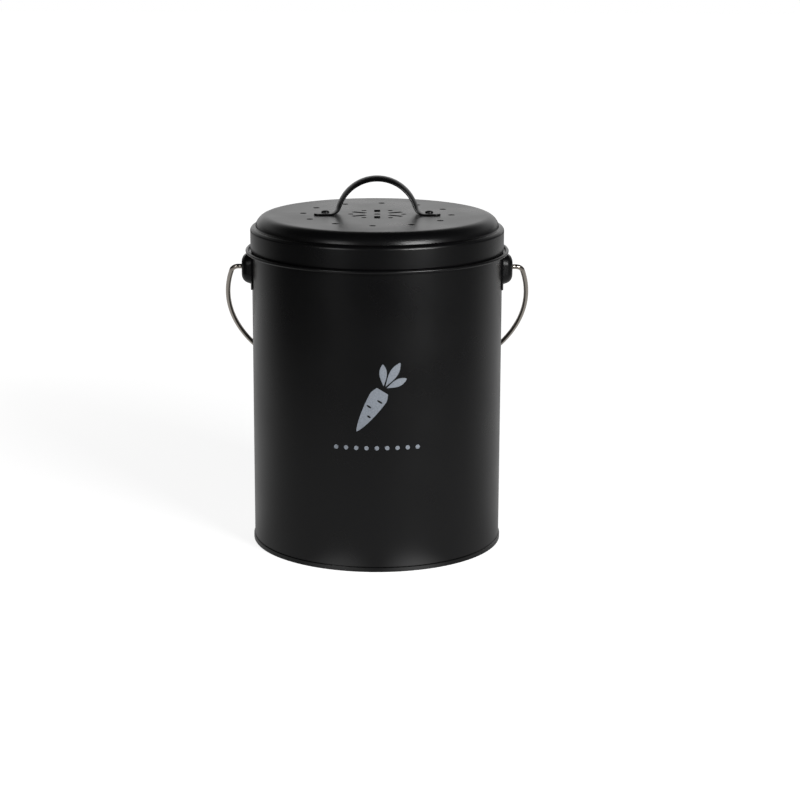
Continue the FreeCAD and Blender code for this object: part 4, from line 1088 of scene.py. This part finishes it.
def add_softbox(name, turn_degrees, rise_degrees, distance, width, height, brightness):
    """Area light that faces the object's middle, turned from the front to the right and raised."""
    light = bpy.data.lights.new(name, "AREA")
    light.shape = "RECTANGLE"
    light.size, light.size_y = width, height
    # A flat lamp's power for a given brightness of its face
    light.energy = brightness * math.pi * width * height
    turn, rise = math.radians(turn_degrees), math.radians(rise_degrees)
    way = Vector((math.sin(turn) * math.cos(rise), -math.cos(turn) * math.cos(rise), math.sin(rise)))
    lamp = bpy.data.objects.new(name, light)
    lamp.location = Vector((0.0, 0.0, cad_high.z / 2.0)) + way * distance
    lamp.rotation_euler = (-way).to_track_quat("-Z", "Y").to_euler()
    lamp.visible_camera = False
    bpy.context.scene.collection.objects.link(lamp)


def add_camera():
    """Camera at the photograph's place and turn."""
    forwards = Vector((math.sin(CAMERA_YAW) * math.cos(CAMERA_PITCH),
                       math.cos(CAMERA_YAW) * math.cos(CAMERA_PITCH), -math.sin(CAMERA_PITCH)))
    level_right = Vector((math.cos(CAMERA_YAW), -math.sin(CAMERA_YAW), 0.0))
    level_up = level_right.cross(forwards)
    right = level_right * math.cos(CAMERA_ROLL) + level_up * math.sin(CAMERA_ROLL)
    up = right.cross(forwards)
    data = bpy.data.cameras.new("photo_camera")
    data.sensor_width = SENSOR_WIDTH
    data.lens = SENSOR_WIDTH * CAMERA_LENS_PIXELS / PHOTO_WIDTH
    data.clip_start, data.clip_end = 0.05, 50.0
    camera = bpy.data.objects.new("photo_camera", data)
    turn = Matrix((right, up, -forwards)).transposed().to_4x4()
    camera.matrix_world = Matrix.Translation(CAMERA_PLACE) @ turn
    bpy.context.scene.collection.objects.link(camera)
    bpy.context.scene.camera = camera


class BUCKET_OT_set_stage(bpy.types.Operator):
    """Sets the pale floor, the soft studio light and the camera"""
    bl_idname = "bucket.set_stage"
    bl_label = "Set the stage"

    def execute(self, context):
        ways = ((-1.0, -1.0), (1.0, -1.0), (1.0, 1.0), (-1.0, 1.0))
        corners = [(across * FLOOR_HALF, back * FLOOR_HALF, 0.0) for across, back in ways]
        mesh = bpy.data.meshes.new("floor")
        mesh.from_pydata(corners, [], [(0, 1, 2, 3)])
        mesh.materials.append(studio_floor())
        floor = bpy.data.objects.new("floor", mesh)
        context.scene.collection.objects.link(floor)
        context.scene.world = studio_world()
        for softbox in SOFTBOXES:
            add_softbox(*softbox)
        add_camera()
        context.scene.view_settings.view_transform = "Standard"
        return {"FINISHED"}


# Add-on

class BUCKET_PT_panel(bpy.types.Panel):
    """Lists the steps that dress the bucket, with their sizes and colours"""
    bl_idname = "BUCKET_PT_panel"
    bl_label = "Compost bucket"
    bl_space_type = "VIEW_3D"
    bl_region_type = "UI"
    bl_category = "Compost bucket"

    def draw(self, context):
        for step in STEPS:
            self.layout.operator(step.bl_idname)
        for group in (context.scene.bucket_sizes, context.scene.bucket_colours):
            column = self.layout.column()
            for name in group.bl_rna.properties.keys():
                if name not in ("rna_type", "name"):
                    column.prop(group, name)


STEPS = (BUCKET_OT_paint_steel, BUCKET_OT_roll_wall, BUCKET_OT_print_wall, BUCKET_OT_bend_bail,
         BUCKET_OT_press_lid, BUCKET_OT_make_handle, BUCKET_OT_finish_plastics, BUCKET_OT_fill_filter,
         BUCKET_OT_set_stage)
CLASSES = (BucketSizes, BucketColours, *STEPS, BUCKET_PT_panel)


def register():
    for item in CLASSES:
        bpy.utils.register_class(item)
    bpy.types.Scene.bucket_sizes = PointerProperty(type=BucketSizes)
    bpy.types.Scene.bucket_colours = PointerProperty(type=BucketColours)


def unregister():
    del bpy.types.Scene.bucket_colours
    del bpy.types.Scene.bucket_sizes
    for item in reversed(CLASSES):
        bpy.utils.unregister_class(item)


def main():
    """Registers the add-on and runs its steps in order."""
    register()
    bpy.ops.bucket.paint_steel()
    bpy.ops.bucket.roll_wall()
    bpy.ops.bucket.print_wall()
    bpy.ops.bucket.bend_bail()
    bpy.ops.bucket.press_lid()
    bpy.ops.bucket.make_handle()
    bpy.ops.bucket.finish_plastics()
    bpy.ops.bucket.fill_filter()
    bpy.ops.bucket.set_stage()


if __name__ == "__main__":
    main()
